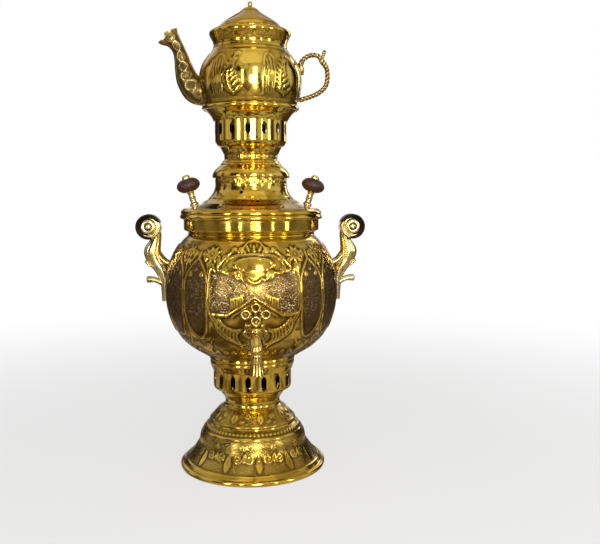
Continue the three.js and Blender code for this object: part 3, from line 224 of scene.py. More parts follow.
class Chasing:
    def __init__(self, points, columns, front=1):  # front: how much finer the columns are in the front third
        self.radius, self.z = points[:, 0], points[:, 1]
        self.arc = np.concatenate([[0], np.cumsum(np.linalg.norm(np.diff(points, axis=0), axis=1))])
        ahead = int(columns * front / (front + 2))
        self.turns = np.radians(np.concatenate([np.linspace(-60, 60, ahead, endpoint=False),
                                                np.linspace(60, 300, columns - ahead, endpoint=False)]))
        self.degrees = (np.degrees(self.turns) + 180) % 360 - 180
        self.height = np.zeros((len(points), columns))
        self.matting = np.zeros((len(points), columns))
        self.shade = np.zeros((len(points), columns))

    def near(self, turn, z, reach):  # a window of rows and columns round a spot, and how far from it they lie
        v = self.arc - np.interp(z, self.z, self.arc)
        rows = np.nonzero(np.abs(v) < reach)[0]
        delta = np.radians((np.degrees(self.turns) - turn + 180) % 360 - 180)
        columns = np.nonzero(np.abs(delta) * self.radius[rows].mean() < reach)[0]
        u = delta[None, columns] * self.radius[rows][:, None]
        return np.ix_(rows, columns), u, v[rows][:, None] + 0 * u

    def lift(self, window, shape):
        self.height[window] = np.maximum(self.height[window], shape)

    def line(self, turn, z, points, width, height, pitch=2):  # a rounded line, points in mm from the spot
        path = run(points, pitch)
        reach = np.abs(path).max() + width + 1
        window, u, v = self.near(turn, z, reach)
        best = np.full(u.shape, 1e9)
        for (x0, y0), (x1, y1) in zip(path, path[1:]):
            dx, dy = x1 - x0, y1 - y0
            t = np.clip(((u - x0) * dx + (v - y0) * dy) / max(dx * dx + dy * dy, 1e-9), 0, 1)
            best = np.minimum(best, np.hypot(u - x0 - t * dx, v - y0 - t * dy))
        self.lift(window, height * np.clip(1 - (best / width) ** 2, 0, 1) ** 1.5)

    def across(self, points, width, height):  # a line through points [degrees, height of the surface]
        turn, z = np.mean(points, axis=0)
        arc = np.interp(z, self.z, self.arc)
        local = [(math.radians(t - turn) * np.interp(h, self.z, self.radius),
                  np.interp(h, self.z, self.arc) - arc) for t, h in points]
        self.line(turn, z, local, width, height)

    def mirrored(self, points, width, height):
        self.across(points, width, height)
        self.across([(-t, h) for t, h in points], width, height)

    def dot(self, turn, z, radius, height):
        window, u, v = self.near(turn, z, radius + 1)
        self.lift(window, height * np.clip(1 - (u * u + v * v) / radius**2, 0, 1) ** 0.5)

    def daisy(self, turn, z, radius, petals, height, spin=0):
        window, u, v = self.near(turn, z, radius + 1)
        r, a = np.hypot(u, v) / radius, np.arctan2(v, u) + spin
        side = np.abs(np.sin((a * petals / 2 + math.pi / 2) % math.pi - math.pi / 2) * 2 / petals) * r
        out = np.clip((r - 0.2) / 0.8, 0, 1)
        width = 0.27 * np.sin(np.pi * out) ** 0.7 * math.sin(math.pi / petals) ** 0.5
        body = np.clip(1 - (side / np.maximum(width, 1e-3)) ** 2, 0, 1) ** 0.6 * (out > 0)
        eye = np.clip(1 - (r / 0.2) ** 2, 0, 1)
        self.lift(window, height * np.maximum(body, 1.2 * eye**0.5))

    def leaf(self, turn, z, angle, length, width, height, veins=0):  # its stalk at the spot
        window, u, v = self.near(turn, z, length + 1)
        c, s = math.cos(math.radians(angle)), math.sin(math.radians(angle))
        along, side = (u * c + v * s) / length, np.abs(v * c - u * s)
        edge = width * np.sin(np.pi * np.clip(along, 0, 1)) ** 0.8 * (1 - 0.35 * np.clip(along, 0, 1))
        swell = np.clip(1 - (side / np.maximum(edge, 1e-3)) ** 2, 0, 1) ** 0.5 * ((along > 0) & (along < 1))
        groove = np.clip(1 - side / (0.28 * width), 0, 1) * 0.55
        rib = 0.16 * np.cos(along * veins * 2 * np.pi - side * 2.2) if veins else 0
        self.lift(window, height * swell * (1 - groove + rib))

    def scroll(self, turn, z, radius, angle, spin, width, height, turns=1.4):
        a = np.linspace(0, turns * 2 * math.pi, 26)
        r = radius * (1 - 0.8 * a / a[-1])
        b = math.radians(angle) + spin * a
        self.line(turn, z, np.stack([r * np.cos(b), r * np.sin(b)], 1), width, height, 1)

    def beads(self, z, count, radius, height):
        for i in range(count):
            self.dot(i * 360 / count, z, radius, height)

    def ridge(self, z, width, height):
        v = self.arc - np.interp(z, self.z, self.arc)
        self.height = np.maximum(self.height, (height * np.clip(1 - (v / width) ** 2, 0, 1) ** 1.5)[:, None])

    def mat(self, mask):  # ground that is stippled and dark; in the front shield it is weaker round a painted highlight
        self.matting = np.maximum(self.matting, mask)

    def darken(self, mask):  # smooth ground made darker: old polish left in it on some grounds, painted shade on others
        self.shade = np.maximum(self.shade, mask)

    def softened(self):  # as a tool with rounded edges leaves it
        self.height = (np.roll(self.height, 1, 1) + 5 * self.height + np.roll(self.height, -1, 1)) / 7
        self.height[1:-1] = (self.height[:-2] + 5 * self.height[1:-1] + self.height[2:]) / 7
        return self.height

    def marks(self):
        if not hasattr(self, "ready"):
            wide = self.height.copy()
            for _ in range(6):
                wide = (wide + np.roll(wide, 1, 1) + np.roll(wide, -1, 1)) / 3
                wide[1:-1] = (wide[1:-1] + wide[:-2] + wide[2:]) / 3
            ground = np.clip(1 - self.height / 0.5, 0, 1)
            # patina in the hollows of the relief, plus painted shade on the low ground where darken marked it
            patinaAndShade = np.clip((wide - self.height) * 5 + self.shade * ground, 0, 1)
            self.ready = {"patinaAndShade": patinaAndShade, "matting": self.matting * ground}
        return self.ready


# Materials

class Value:  # a socket that takes arithmetic
    def __init__(self, shader, socket):
        self.shader, self.socket = shader, socket

    def maths(self, operation, *values):
        return self.shader.node("ShaderNodeMath", {"operation": operation}, dict(enumerate(values)))

    def __add__(self, other): return self.maths("ADD", self, other)
    def __radd__(self, other): return self.maths("ADD", other, self)
    def __sub__(self, other): return self.maths("SUBTRACT", self, other)
    def __rsub__(self, other): return self.maths("SUBTRACT", other, self)
    def __mul__(self, other): return self.maths("MULTIPLY", self, other)
    def __rmul__(self, other): return self.maths("MULTIPLY", other, self)

    def clamped(self):
        return self.shader.node("ShaderNodeClamp", {}, {0: self})

    def ramp(self, low, high):  # 0 at low and below, 1 at high and above
        return self.shader.node("ShaderNodeMapRange", {"interpolation_type": "SMOOTHSTEP"},
                                {0: self, 1: low, 2: high, 3: 0.0, 4: 1.0})


class Shader:
    def __init__(self, owner):
        owner.use_nodes = True
        self.tree = owner.node_tree
        self.tree.nodes.clear()

    def node(self, kind, settings=None, sockets=None, output=0):
        made = self.tree.nodes.new(kind)
        for name, value in (settings or {}).items():
            setattr(made, name, value)
        for name, value in (sockets or {}).items():
            if isinstance(value, Value):
                self.tree.links.new(value.socket, made.inputs[name])
            else:
                made.inputs[name].default_value = value
        return Value(self, made.outputs[output]) if len(made.outputs) else None

    def mixed(self, share, first, second):  # colours
        return self.node("ShaderNodeMix", {"data_type": "RGBA"}, {0: share, 6: first, 7: second}, 2)

    def place(self, scale=(1, 1, 1)):
        where = self.node("ShaderNodeTexCoord", output="Object")
        return self.node("ShaderNodeVectorMath", {"operation": "MULTIPLY"}, {0: where, 1: scale})

    def noise(self, scale, detail, stretch=(1, 1, 1)):
        sockets = {"Vector": self.place(stretch), "Scale": scale, "Detail": detail, "Roughness": 0.55}
        return self.node("ShaderNodeTexNoise", {}, sockets)

    def mark(self, name):
        return self.node("ShaderNodeAttribute", {"attribute_name": name}, output="Fac")

    def rays(self):  # 1 for what the camera sees, and 1 for what shows mirrored in metal or through glass
        camera, glossy, through = (self.node("ShaderNodeLightPath", output=kind)
                                   for kind in ("Is Camera Ray", "Is Glossy Ray", "Is Transmission Ray"))
        return camera, (glossy + through).clamped()

    def surface(self, **sockets):
        names = {"color": "Base Color", "roughness": "Roughness", "metallic": "Metallic", "normal": "Normal",
                 "coat": "Coat Weight", "coatRoughness": "Coat Roughness"}
        made = self.node("ShaderNodeBsdfPrincipled", {}, {names[k]: v for k, v in sockets.items()})
        self.node("ShaderNodeOutputMaterial", {}, {"Surface": made})


def brassFinish(name, look):  # polished, with dark patina and painted shade, stippled grounds with painted glints, and soot where the marks say so
    material = bpy.data.materials.new(name)
    s = Shader(material)
    patinaAndShade, matting, soot = s.mark("patinaAndShade"), s.mark("matting"), s.mark("soot")
    clouds = s.noise(look["cloudScale"], 3.0)
    grains = s.noise(look["grainScale"], 4.0)
    spots = s.node("ShaderNodeTexVoronoi", {}, {"Vector": s.place(), "Scale": look["stippleScale"]})
    # glints: painted highlights on the stipple dots, mixed into the colour of the matted ground
    glints = 1 - spots.ramp(0.12, 0.6)
    polished = s.mixed(clouds.ramp(0.38, 0.66), look["bright"], look["warm"])
    patches = s.noise(look["patchScale"], 4.0).ramp(0.4, 0.6)
    ground = s.mixed(glints * (0.15 + 0.85 * patches), look["ground"], look["glint"])
    shadeAndWear = (patinaAndShade * look["patinaAndShadeShare"] + grains.ramp(0.6, 0.75) * look["speckle"]).clamped()
    color = s.mixed(matting, s.mixed(shadeAndWear, polished, look["dark"]), s.mixed(shadeAndWear * 0.7, ground, look["dark"]))
    lumps = s.noise(look["beatenScale"], 1.0)
    rough = look["roughness"] + 0.06 * s.noise(60.0, 4.0) + shadeAndWear * 0.2 + matting * 0.1
    height = (glints * matting * look["stippleDepth"] + lumps * look["beatenDepth"]
              + grains * look["grainDepth"])
    bump = s.node("ShaderNodeBump", {}, {"Strength": 1.0, "Distance": 0.001, "Height": height})
    s.surface(color=s.mixed(soot, color, look["soot"]), roughness=(rough + soot * 0.5).clamped(),
              metallic=1 - 0.12 * shadeAndWear - 0.7 * soot, normal=bump,
              coat=look["coat"] * (1 - shadeAndWear - matting).clamped(), coatRoughness=0.1)
    return material


spunLook = {"bright": (0.84, 0.58, 0.085, 1), "warm": (0.68, 0.40, 0.035, 1),
            "dark": (0.055, 0.022, 0.006, 1), "ground": (0.19, 0.11, 0.028, 1),
            "glint": (0.92, 0.76, 0.40, 1), "soot": (0.018, 0.013, 0.01, 1),
            "cloudScale": 16.0, "grainScale": 420.0, "patchScale": 210.0, "stippleScale": 600.0,
            "beatenScale": 55.0, "beatenDepth": 0.22, "grainDepth": 0.02, "stippleDepth": 0.3,
            "roughness": 0.06, "coat": 0.3, "patinaAndShadeShare": 0.95, "speckle": 0.06}
castLook = {**spunLook, "bright": (0.88, 0.74, 0.38, 1), "warm": (0.60, 0.44, 0.14, 1),
            "dark": (0.014, 0.007, 0.003, 1), "cloudScale": 60.0, "beatenScale": 160.0, "beatenDepth": 0.16,
            "grainDepth": 0.05, "roughness": 0.15, "patinaAndShadeShare": 1.0, "speckle": 0.2}
agedLook = {**castLook, "bright": (0.66, 0.48, 0.15, 1), "warm": (0.38, 0.24, 0.06, 1),
            "dark": (0.03, 0.015, 0.006, 1), "beatenDepth": 0.14, "roughness": 0.12, "patinaAndShadeShare": 0.95,
            "speckle": 0.3}
tapLook = {**agedLook, "bright": (0.80, 0.58, 0.14, 1), "warm": (0.52, 0.32, 0.06, 1),
           "dark": spunLook["dark"], "roughness": 0.1}
spunBrass = brassFinish("spunBrass", spunLook)
castBrass = brassFinish("castBrass", castLook)
agedBrass = brassFinish("agedBrass", agedLook)
tapBrass = brassFinish("tapBrass", tapLook)


def plainFinish(name, first, second, scale, roughness, metallic, depth, stretch=(1, 1, 1), coat=0.0):
    material = bpy.data.materials.new(name)
    s = Shader(material)
    pattern = s.noise(scale, 5.0, stretch)
    bump = s.node("ShaderNodeBump", {}, {"Strength": 1.0, "Distance": 0.001, "Height": pattern * depth})
    s.surface(color=s.mixed(pattern.ramp(0.35, 0.65), first, second), roughness=roughness + 0.15 * pattern,
              metallic=metallic, normal=bump, coat=coat, coatRoughness=0.15)
    return material


tubeSteel = plainFinish("tubeSteel", (0.035, 0.03, 0.026, 1), (0.016, 0.012, 0.01, 1),
                        scale=40.0, roughness=0.55, metallic=0.4, depth=0.05)
grateIron = plainFinish("grateIron", (0.05, 0.045, 0.04, 1), (0.12, 0.06, 0.035, 1),
                        scale=220.0, roughness=0.65, metallic=0.6, depth=0.3)
knobWood = plainFinish("knobWood", (0.07, 0.018, 0.009, 1), (0.022, 0.007, 0.004, 1), scale=110.0,
                       roughness=0.4, metallic=0.0, depth=0.12, stretch=(1, 1, 5), coat=0.08)
fibre = plainFinish("fibre", (0.16, 0.06, 0.035, 1), (0.10, 0.035, 0.02, 1),
                    scale=300.0, roughness=0.75, metallic=0.0, depth=0.1)
print("materials ready")


# Foot

footSizes = {"rim": 88, "shoulder": 63, "shoulderHeight": 40.5, "bead": 51.4, "beadHeight": 58, "waist": 33,
             "top": 39.4, "height": 93, "petals": 9, "leaves": 12}


def makeFoot(f):
    rim, shoulder, bead, waist, top = (f[key] for key in ("rim", "shoulder", "bead", "waist", "top"))
    level, middle, height = f["shoulderHeight"], f["beadHeight"], f["height"]
    edge = run([(rim - 3.4, 0), (rim - 1, 0.7), (rim, 3), (rim - 1, 5.3), (rim - 3.4, 6.2)], 1)
    bell = outline([(rim - 4, 7.2), (rim - 12.5, 15), (shoulder + 3, level - 12), (shoulder, level),
                    (shoulder - 5.5, level + 8.5), (bead - 0.5, middle - 3)],
                   [(bead + 0.7, middle - 1.8), (bead + 0.7, middle), (bead - 0.8, middle + 1.4)],
                   [(bead - 4, middle + 4.5), (waist + 7.6, height - 23), (waist + 0.6, height - 17),
                    (waist + 0.2, height - 11), (top - 1.4, height - 3), (top, height)], pitch=1.0)
    skin = np.concatenate([edge, bell[1:]])
    c = Chasing(skin, 420)
    for i in range(f["leaves"]):  # a leaf between two scrolls, round the shoulder
        turn = i * 360 / f["leaves"] + 4
        c.leaf(turn, 12, 90, 22, 5, 0.7, 3)
        c.scroll(turn - 9, 26, 5, 200, 1, 1.3, 0.6)
        c.scroll(turn + 9, 26, 5, -20, -1, 1.3, 0.6)
        c.daisy(turn + 15, 36, 5, 7, 0.6)
        c.leaf(turn + 15, 22, 80, 11, 3, 0.6)
    for i in range(f["petals"]):  # petals up the neck
        turn = i * 360 / f["petals"] + 10
        c.leaf(turn, 61, 90, 15, 5, 0.6, 2)
        c.daisy(turn + 20, 68, 4.2, 6, 0.6)
        c.scroll(turn + 12, 63, 2.4, 0, 1, 0.9, 0.5)
        c.dot(turn + 20, 61.5, 1.4, 0.5)
    c.ridge(10, 1.2, 0.5)
    c.ridge(46, 1.1, 0.5)
    c.ridge(74.5, 1, 0.4)
    c.beads(50.5, 72, 1.7, 0.7)
    z = skin[:, 1][:, None]
    c.darken(0.35 * ((z > 11) & (z < 74)))
    grain = 0.5 + 0.5 * np.sin(c.turns[None, :] * 61) * np.sin(c.arc[:, None] * 1.7)
    c.mat(0.55 * grain * ((z > 11) & (z < 45)))
    c.mat(0.5 * grain * ((z > 60) & (z < 74)))
    inside = np.concatenate([backWall(skin[skin[:, 1] > 7.5], 22), [(81, 7), (81, 0)]])
    inside[-3] = (82, 8)
    return spin("foot_bell", skin, inside, chasing=c)


dress(makeFoot(footSizes), spunBrass, "samovar_body", "spun_brass", "foot")
print("foot ready")


# Pierced drums

def ventCutters(g):  # the vents of a drum: upright, with a pointed end above and below
    half, w, tip = g["height"] / 2, g["width"] / 2, g["tip"]
    shape = [(0, -half), (w, -half + tip), (w, half - tip), (0, half), (-w, half - tip), (-w, -half + tip)]
    points, faces = [], []
    for i in range(g["vents"]):
        a = math.radians(g["turn"] + i * 360 / g["vents"])
        for depth in (g["radius"] - 6, g["radius"] + 6):
            for u, v in shape:
                points.append((depth * math.sin(a) + u * math.cos(a),
                               axisY - depth * math.cos(a) + u * math.sin(a), g["middle"] + v))
        s = i * 12
        faces += [[s + 5 - k for k in range(6)], [s + 6 + k for k in range(6)]]
        faces += [[s + k, s + (k + 1) % 6, s + 6 + (k + 1) % 6, s + 6 + k] for k in range(6)]
    return meshPiece("cutters", points, faces)


def drum(name, g, skin, chasing):
    piece = spin(name, skin, backWall(skin, 8), chasing=chasing, soot=True)
    return combine(piece, [ventCutters(g)], "DIFFERENCE")


gallerySizes = {"base": 93, "top": 119.5, "radius": 47.2,
                "vents": 16, "turn": -7.9, "middle": 108.3, "height": 18.6, "width": 6.4, "tip": 3.4}


def makeGallery(g):
    r, base = g["radius"], g["base"]
    skin = outline([(r - 7.8, base), (r - 3.2, base + 1.7), (r - 0.8, base + 3.6), (r, base + 5.6)],
                   [(r, g["top"])], pitch=1.3)
    c = Chasing(skin, 320)
    c.ridge(base + 5.4, 0.9, 0.01)  # a hairline where the wall turns upright
    return drum("gallery_drum", g, skin, c)


dress(makeGallery(gallerySizes), spunBrass, "samovar_body", "spun_brass", "air_gallery")


collarSizes = {"base": 119.5, "top": 136.5, "radius": 50.9, "flowers": 26}


def makeCollar(k):
    r, base, top = k["radius"], k["base"], k["top"]
    skin = outline([(r - 3.3, base), (r - 2, base + 0.4), (r - 1.8, base + 1.5)],
                   [(r - 1.2, base + 3.5), (r, base + 9), (r - 0.5, top - 5.5)],
                   [(r + 0.5, top - 4.5), (r + 0.5, top - 2), (r, top)], pitch=0.9)
    c = Chasing(skin, 300)
    for i in range(k["flowers"]):
        c.daisy(i * 360 / k["flowers"], base + 6, 2.8, 5, 0.35)
        c.leaf((i + 0.5) * 360 / k["flowers"], base + 2.9, 90, 6, 1.4, 0.3)
    return spin("collar_moulding", skin, backWall(skin, 6), chasing=c)


dress(makeCollar(collarSizes), spunBrass, "samovar_body", "spun_brass", "collar")
print("gallery and collar ready")


# Tank: a flattened ball, chased all over

tankSizes = {"radius": 102.3, "centre": 213.3, "below": 85.8, "above": 92, "power": 2.25, "base": 136.5,
             "top": 281, "rows": 150, "columns": 600}


def bellyRadius(z, t):
    reach = np.where(z < t["centre"], t["below"], t["above"])
    share = np.clip(np.abs(z - t["centre"]) / reach, 0, 1)
    return t["radius"] * (1 - share ** t["power"]) ** (1 / t["power"])


def panelWidth(z):  # half the width of a side panel, in degrees: a pointed arch over a rounded end
    foot = 9 * np.sqrt(np.clip(1 - (np.clip(200 - z, 0, 99) / 31) ** 2, 0, 1))
    return foot * np.clip(1 - (np.clip(z - 234, 0, 99) / 24) ** 1.7, 0, 1)


def chaseSides(c, z, away):  # narrow panels all round, 20 degrees apart, with a flower between each two
    across = (away - 30) % 20 - 10
    width = panelWidth(z)
    inPanel = (away > 30.4) & (np.abs(across) < width - 0.7)
    c.mat(inPanel * np.clip((z - 183) / 16, 0, 1))
    # dark ground in the side panels: patina, and painted shade that keeps them darker than the front shield
    c.darken(0.9 * inPanel)
    dent = -0.9 * np.sqrt(np.clip(1 - (across / np.maximum(width, 1)) ** 2, 0, 1))
    c.height = np.where(inPanel, dent, c.height)
    heights = [170.2, 173, 178, 186, 196, 210, 224, 236, 244, 250, 254, 257]
    for turn in [40 + 20 * k for k in range(8)] + [-40 - 20 * k for k in range(7)]:
        for way in (-1, 1):
            arch = [(turn + way * panelWidth(h), h) for h in heights]
            c.across([(turn, 169.2)] + arch + [(turn, 258)], 1.5, 1.0)
            c.scroll(turn + way * 4.4, 262.5, 3.4, 90, way, 1.2, 0.9)
            c.leaf(turn + way * 6.4, 254, 90 + way * 25, 9, 1.8, 0.8)
            c.scroll(turn + way * 4.2, 241, 2.8, 90, -way, 1.1, 0.7)
            c.scroll(turn + way * 4.2, 160.5, 4.4, -90, way, 1.3, 0.8)
            c.across([(turn + way * 10, 169), (turn + way * 6, 161.5), (turn, 157.5)], 1.2, 0.7)
        c.leaf(turn, 257, 90, 12, 2.6, 1.0, 2)
        c.dot(turn, 246, 1.7, 0.8)
        for k in range(5):
            c.leaf(turn, 151, 50 + 20 * k, 15 - abs(k - 2), 2.4, 0.9)
        swag = ((-10, 155), (-5, 149.4), (0, 148), (5, 149.4), (10, 155))
        c.across([(turn + u, h) for u, h in swag], 1.2, 0.7)
    for turn in [50 + 20 * k for k in range(7)] + [-50 - 20 * k for k in range(7)]:
        c.daisy(turn, 264, 8.6, 8, 1.1, 0.4)
        c.leaf(turn, 258.5, -90, 14, 2.8, 0.9, 2)
        for way in (-1, 1):
            c.leaf(turn + way * 1.4, 257.5, -90 + way * 25, 9, 2.2, 0.8)
        c.daisy(turn, 160, 5, 6, 0.8)
    # painted shade: the ground darker low on the belly, round the tap, and high up on the sides
    c.darken(0.42 * (~inPanel & (z < 168)))
    c.darken(0.3 * ((away < 26) & (z < 198)))
    c.darken(0.22 * (z > 240) * (away > 28))


def chaseFront(c, z, away):  # a shield 60 degrees wide: a gable with drapery, and acanthus beside the tap
    for outer, inner, lowest in ((29.6, 19, 166.4), (27.8, 17, 168.4)):
        c.mirrored([(outer, 243), (outer + 0.3, 222), (outer, 203), (outer - 2.6, 193), (inner, 176.8),
                    (14, lowest), (9, lowest - 6)], 1.2, 1.0)
    edge = np.interp(away, [0, 3, 5, 8, 10, 13, 18, 23, 26, 29.6],
                     [236, 236, 238, 237, 243, 241, 244, 246, 243, 246])
    gable = (away < 17.6) & (z < 218.6 - away / 17 * 20)
    ground = (away < 28.2) & (z < edge - 1) & (z > 199.4) & ~gable
    # painted highlight: the matting weaker towards the middle of the shield, round z 230, so polished brass
    # shows there
    c.mat(np.clip(0.68 + 0.32 * np.hypot(away / 20, (z - 230) / 20), 0, 1) * ground)
    c.height = np.where(ground, -0.4, c.height)
    c.mirrored([(28.4, 198.6), (22, 197.6), (18.6, 197.8)], 1.3, 1.1)
    c.mirrored([(0, 218), (5, 211.6), (11, 204.6), (17.8, 197)], 1.4, 1.1)
    c.mirrored([(0, 213.6), (5, 207), (14, 196.4)], 1.0, 0.8)
    for k in range(7):  # drapery, then lobes that curl up from a long stem
        c.mirrored([(7.2 + 1.2 * k, 220.4 - 0.7 * k), (7.5 + 1.2 * k, 211.6 - 1.0 * k)], 1.0, 1.1)
        u, h = 10.5 + 2 * k, 166.8 + 0.36 * k * k
        c.mirrored([(u, h), (u + 1.8, h + 6), (u + 1, h + 12), (u - 1.4, h + 15 - k)], 1.7, 1.3)
    c.mirrored([(25.4, 188), (24.4, 180), (19.4, 171.4), (13, 166), (7, 164.4)], 1.7, 1.3)
    for way in (-1, 1):
        c.scroll(way * 22.6, 190.5, 3.8, 90, -way, 1.3, 0.9)
        for k in range(6):
            c.leaf(way * (4 + 6.6 * k), 149, 90, 9, 3, 0.7, 2)
        c.daisy(way * 30, 262.8, 10.8, 9, 1.4, 0.3)
        c.leaf(way * 29.6, 257, -95, 18, 3.4, 1.0, 3)
        c.leaf(way * 27.4, 254, -90 + way * 24, 13, 2.6, 1.0)
        c.leaf(way * 32.6, 255, -90 - way * 28, 14, 2.8, 1.0)
        c.leaf(way * 22.6, 250.5, 90 - way * 22, 13, 3.2, 0.9, 2)
        c.leaf(way * 26, 245, 90 - way * 30, 11, 2.2, 0.8)


def chaseCartouche(c, z, degrees):  # a bare oval in a scrolled frame, with a crest of leaves
    frames = (([(23.6, 246.5), (24.4, 250), (21.5, 256.5), (18.4, 262), (15.7, 266.2), (12, 266.6),
                (8.7, 265.2)], 1.6, 1.3),
              ([(20.5, 249), (19.2, 255), (15.5, 260.5), (11.5, 262.5), (6, 263), (0, 264)], 1.1, 0.8),
              ([(8.7, 265.2), (9.6, 268.4), (6.8, 272), (4.8, 276), (0, 278.4)], 1.5, 1.2),
              ([(23.6, 246.5), (19, 244.6), (14.6, 243.6), (10.4, 246.4)], 1.5, 1.2),
              ([(9, 239), (6.6, 236.6), (4.5, 238.4), (3.2, 235.4), (0, 233)], 1.5, 1.2))
    for points, width, height in frames:
        c.mirrored(points, width, height)
    for way in (-1, 1):
        c.scroll(way * 10.4, 241.6, 5, 90, way, 1.5, 1.3)
        c.dot(way * 10.4, 241.6, 1.9, 1.3)
        c.scroll(way * 8.8, 269, 3.4, -90, way, 1.2, 1.0)
        c.scroll(way * 14.4, 268.6, 2.6, 0, -way, 1.1, 0.9)
        c.daisy(way * 19.6, 247.5, 4.6, 6, 1.0)
        c.scroll(way * 19.2, 259.5, 3.6, 200, way, 1.2, 0.8)
    plate = (degrees / 12.2) ** 2 + ((z - 253) / 6.6) ** 2
    rim, field = 1.0 * np.clip(1 - np.abs(plate - 1) * 3, 0, 1), 0.45 * np.clip((1 - plate) * 4, 0, 1)
    c.height = np.maximum(c.height, np.maximum(rim, field))
    for turn, height in ((0, 271.5), (-3.4, 270), (3.4, 270), (-5.8, 267.6), (5.8, 267.6)):
        c.leaf(turn, height - 3.8, 90 - turn * 6, 8.8, 2.1, 1.3)
    c.dot(0, 267, 2.4, 1.4)


def makeTank(t):
    bottom = -math.asin((t["centre"] - t["base"]) / t["below"])
    top = math.asin((t["top"] - t["centre"]) / t["above"])
    a = np.linspace(bottom, top, 400)
    z = t["centre"] + np.where(a < 0, t["below"], t["above"]) * np.sin(a)
    fine = np.stack([bellyRadius(z, t), z], 1)
    arc = np.concatenate([[0], np.cumsum(np.linalg.norm(np.diff(fine, axis=0), axis=1))])
    even = np.linspace(0, arc[-1], t["rows"])
    skin = np.stack([np.interp(even, arc, fine[:, 0]), np.interp(even, arc, fine[:, 1])], 1)
    c = Chasing(skin, t["columns"], 1.7)
    z, degrees = skin[:, 1][:, None], c.degrees[None, :]
    chaseSides(c, z, np.abs(degrees))
    chaseFront(c, z, np.abs(degrees))
    chaseCartouche(c, z, degrees)
    for height, width, rise in ((139.5, 1.4, 0.6), (145, 0.9, 0.4), (276.5, 1.0, 0.35)):
        c.ridge(height, width, rise)
    floor = [(skin[0, 0] - 2, t["base"] + 1.4), (40.6, t["base"] + 1.3), (40.6, t["base"])]
    inside = np.concatenate([backWall(skin, 12)[:-1], floor])
    return spin("tank_belly", skin, inside, chasing=c)


dress(makeTank(tankSizes), spunBrass, "samovar_body", "spun_brass", "tank")
print("tank ready")


# Neck ring and lid

neckSizes = {"base": 281, "top": 305, "radius": 80.4}


def makeNeck(n):
    r, base, top = n["radius"], n["base"], n["top"]
    skin = outline([(r - 4.8, base), (r - 5.2, base + 1.6), (r - 3.2, base + 4)],
                   [(r - 0.4, base + 5.6), (r, base + 7)], [(r, top - 6)],
                   [(r + 3.2, top - 5.4), (r + 4.3, top - 3), (r + 3.1, top)], pitch=0.8)
    inside = [(r - 3.4, top), (r - 3.4, top - 1.3), (r - sheet, top - 6), (r - sheet, base + 7),
              (r - 6.4, base + 1.6), (r - 6.1, base)]
    return spin("neck_band", skin, inside, 256)


dress(makeNeck(neckSizes), spunBrass, "samovar_body", "spun_brass", "neck_ring")


# each steam hole: turn, distance from the axis, height, radius, and how far it leans out
lidSizes = {"base": 305, "top": 350.4, "neck": 42.4, "flowers": 36, "leaves": 30,
            "steamHoles": ((5.4, 54, 320.4, 2.1, 30), (-16.3, 45, 330.8, 2, 48)),
            "knobOut": 67, "knobHeight": 315.4, "knobHole": 2.7, "knobLean": 17}


def makeLid(p):
    r, top = p["neck"], p["top"]
    skin = outline([(82.8, p["base"]), (83.8, 306.4), (83.2, 309)], [(80, 311.6), (75, 312.95)],
                   [(59, 317.85)], [(51.5, 322.4), (44.6, 331.4), (r, top - 12)], [(r, top)], pitch=0.9)
    c = Chasing(skin, 400)
    for i in range(p["flowers"]):  # stamped flowers round the foot of the ogee
        turn = i * 360 / p["flowers"]
        c.daisy(turn, 320.6, 2.6, 5, 0.45)
        c.leaf(turn + 5, 317.8, 90, 6, 1.5, 0.35)
    for i in range(p["leaves"]):  # engraved band under the crown
        turn = i * 360 / p["leaves"]
        c.leaf(turn, 340.4, 60, 7, 1.5, 0.35)
        c.leaf(turn + 6, 346.6, -60, 7, 1.5, 0.35)
    for height, width, rise in ((311.4, 1.0, 0.3), (324.6, 0.8, 0.35), (339.4, 0.8, 0.4), (348.4, 0.8, 0.4)):
        c.ridge(height, width, rise)
    inside = [(28.6, top), (28.6, top - sheet), (r - sheet, top - sheet), (r - sheet, 338), (43.3, 331),
              (50.4, 321.4), (58.4, 316.6), (75.4, 311.3), (75.4, 297), (76.7, 297), (76.7, p["base"])]
    lid = spin("lid_dome", skin, inside, chasing=c)
    knobHoles = [(turn, p["knobOut"], p["knobHeight"], p["knobHole"], p["knobLean"]) for turn in (90, -90)]
    tools = []
    for turn, away, height, size, lean in [*p["steamHoles"], *knobHoles]:
        a, tilt = math.radians(turn), math.radians(lean)
        outward = (math.sin(tilt) * math.sin(a), -math.sin(tilt) * math.cos(a), math.cos(tilt))
        spot = (away * math.sin(a), axisY - away * math.cos(a), height)
        tools.append(turnedTo(rod(size, -9, 30, 24), spot, outward))
    return combine(lid, tools, "DIFFERENCE")


dress(makeLid(lidSizes), spunBrass, "lid", "spun_brass", "lid")


# Lid knobs: a turned wooden disc on a brass stem, heights from the lid's surface

knobSizes = {"radius": 14, "wood": 16.6, "woodTop": 32.1, "cap": 36.8, "stem": 2.4, "bore": 2.7}


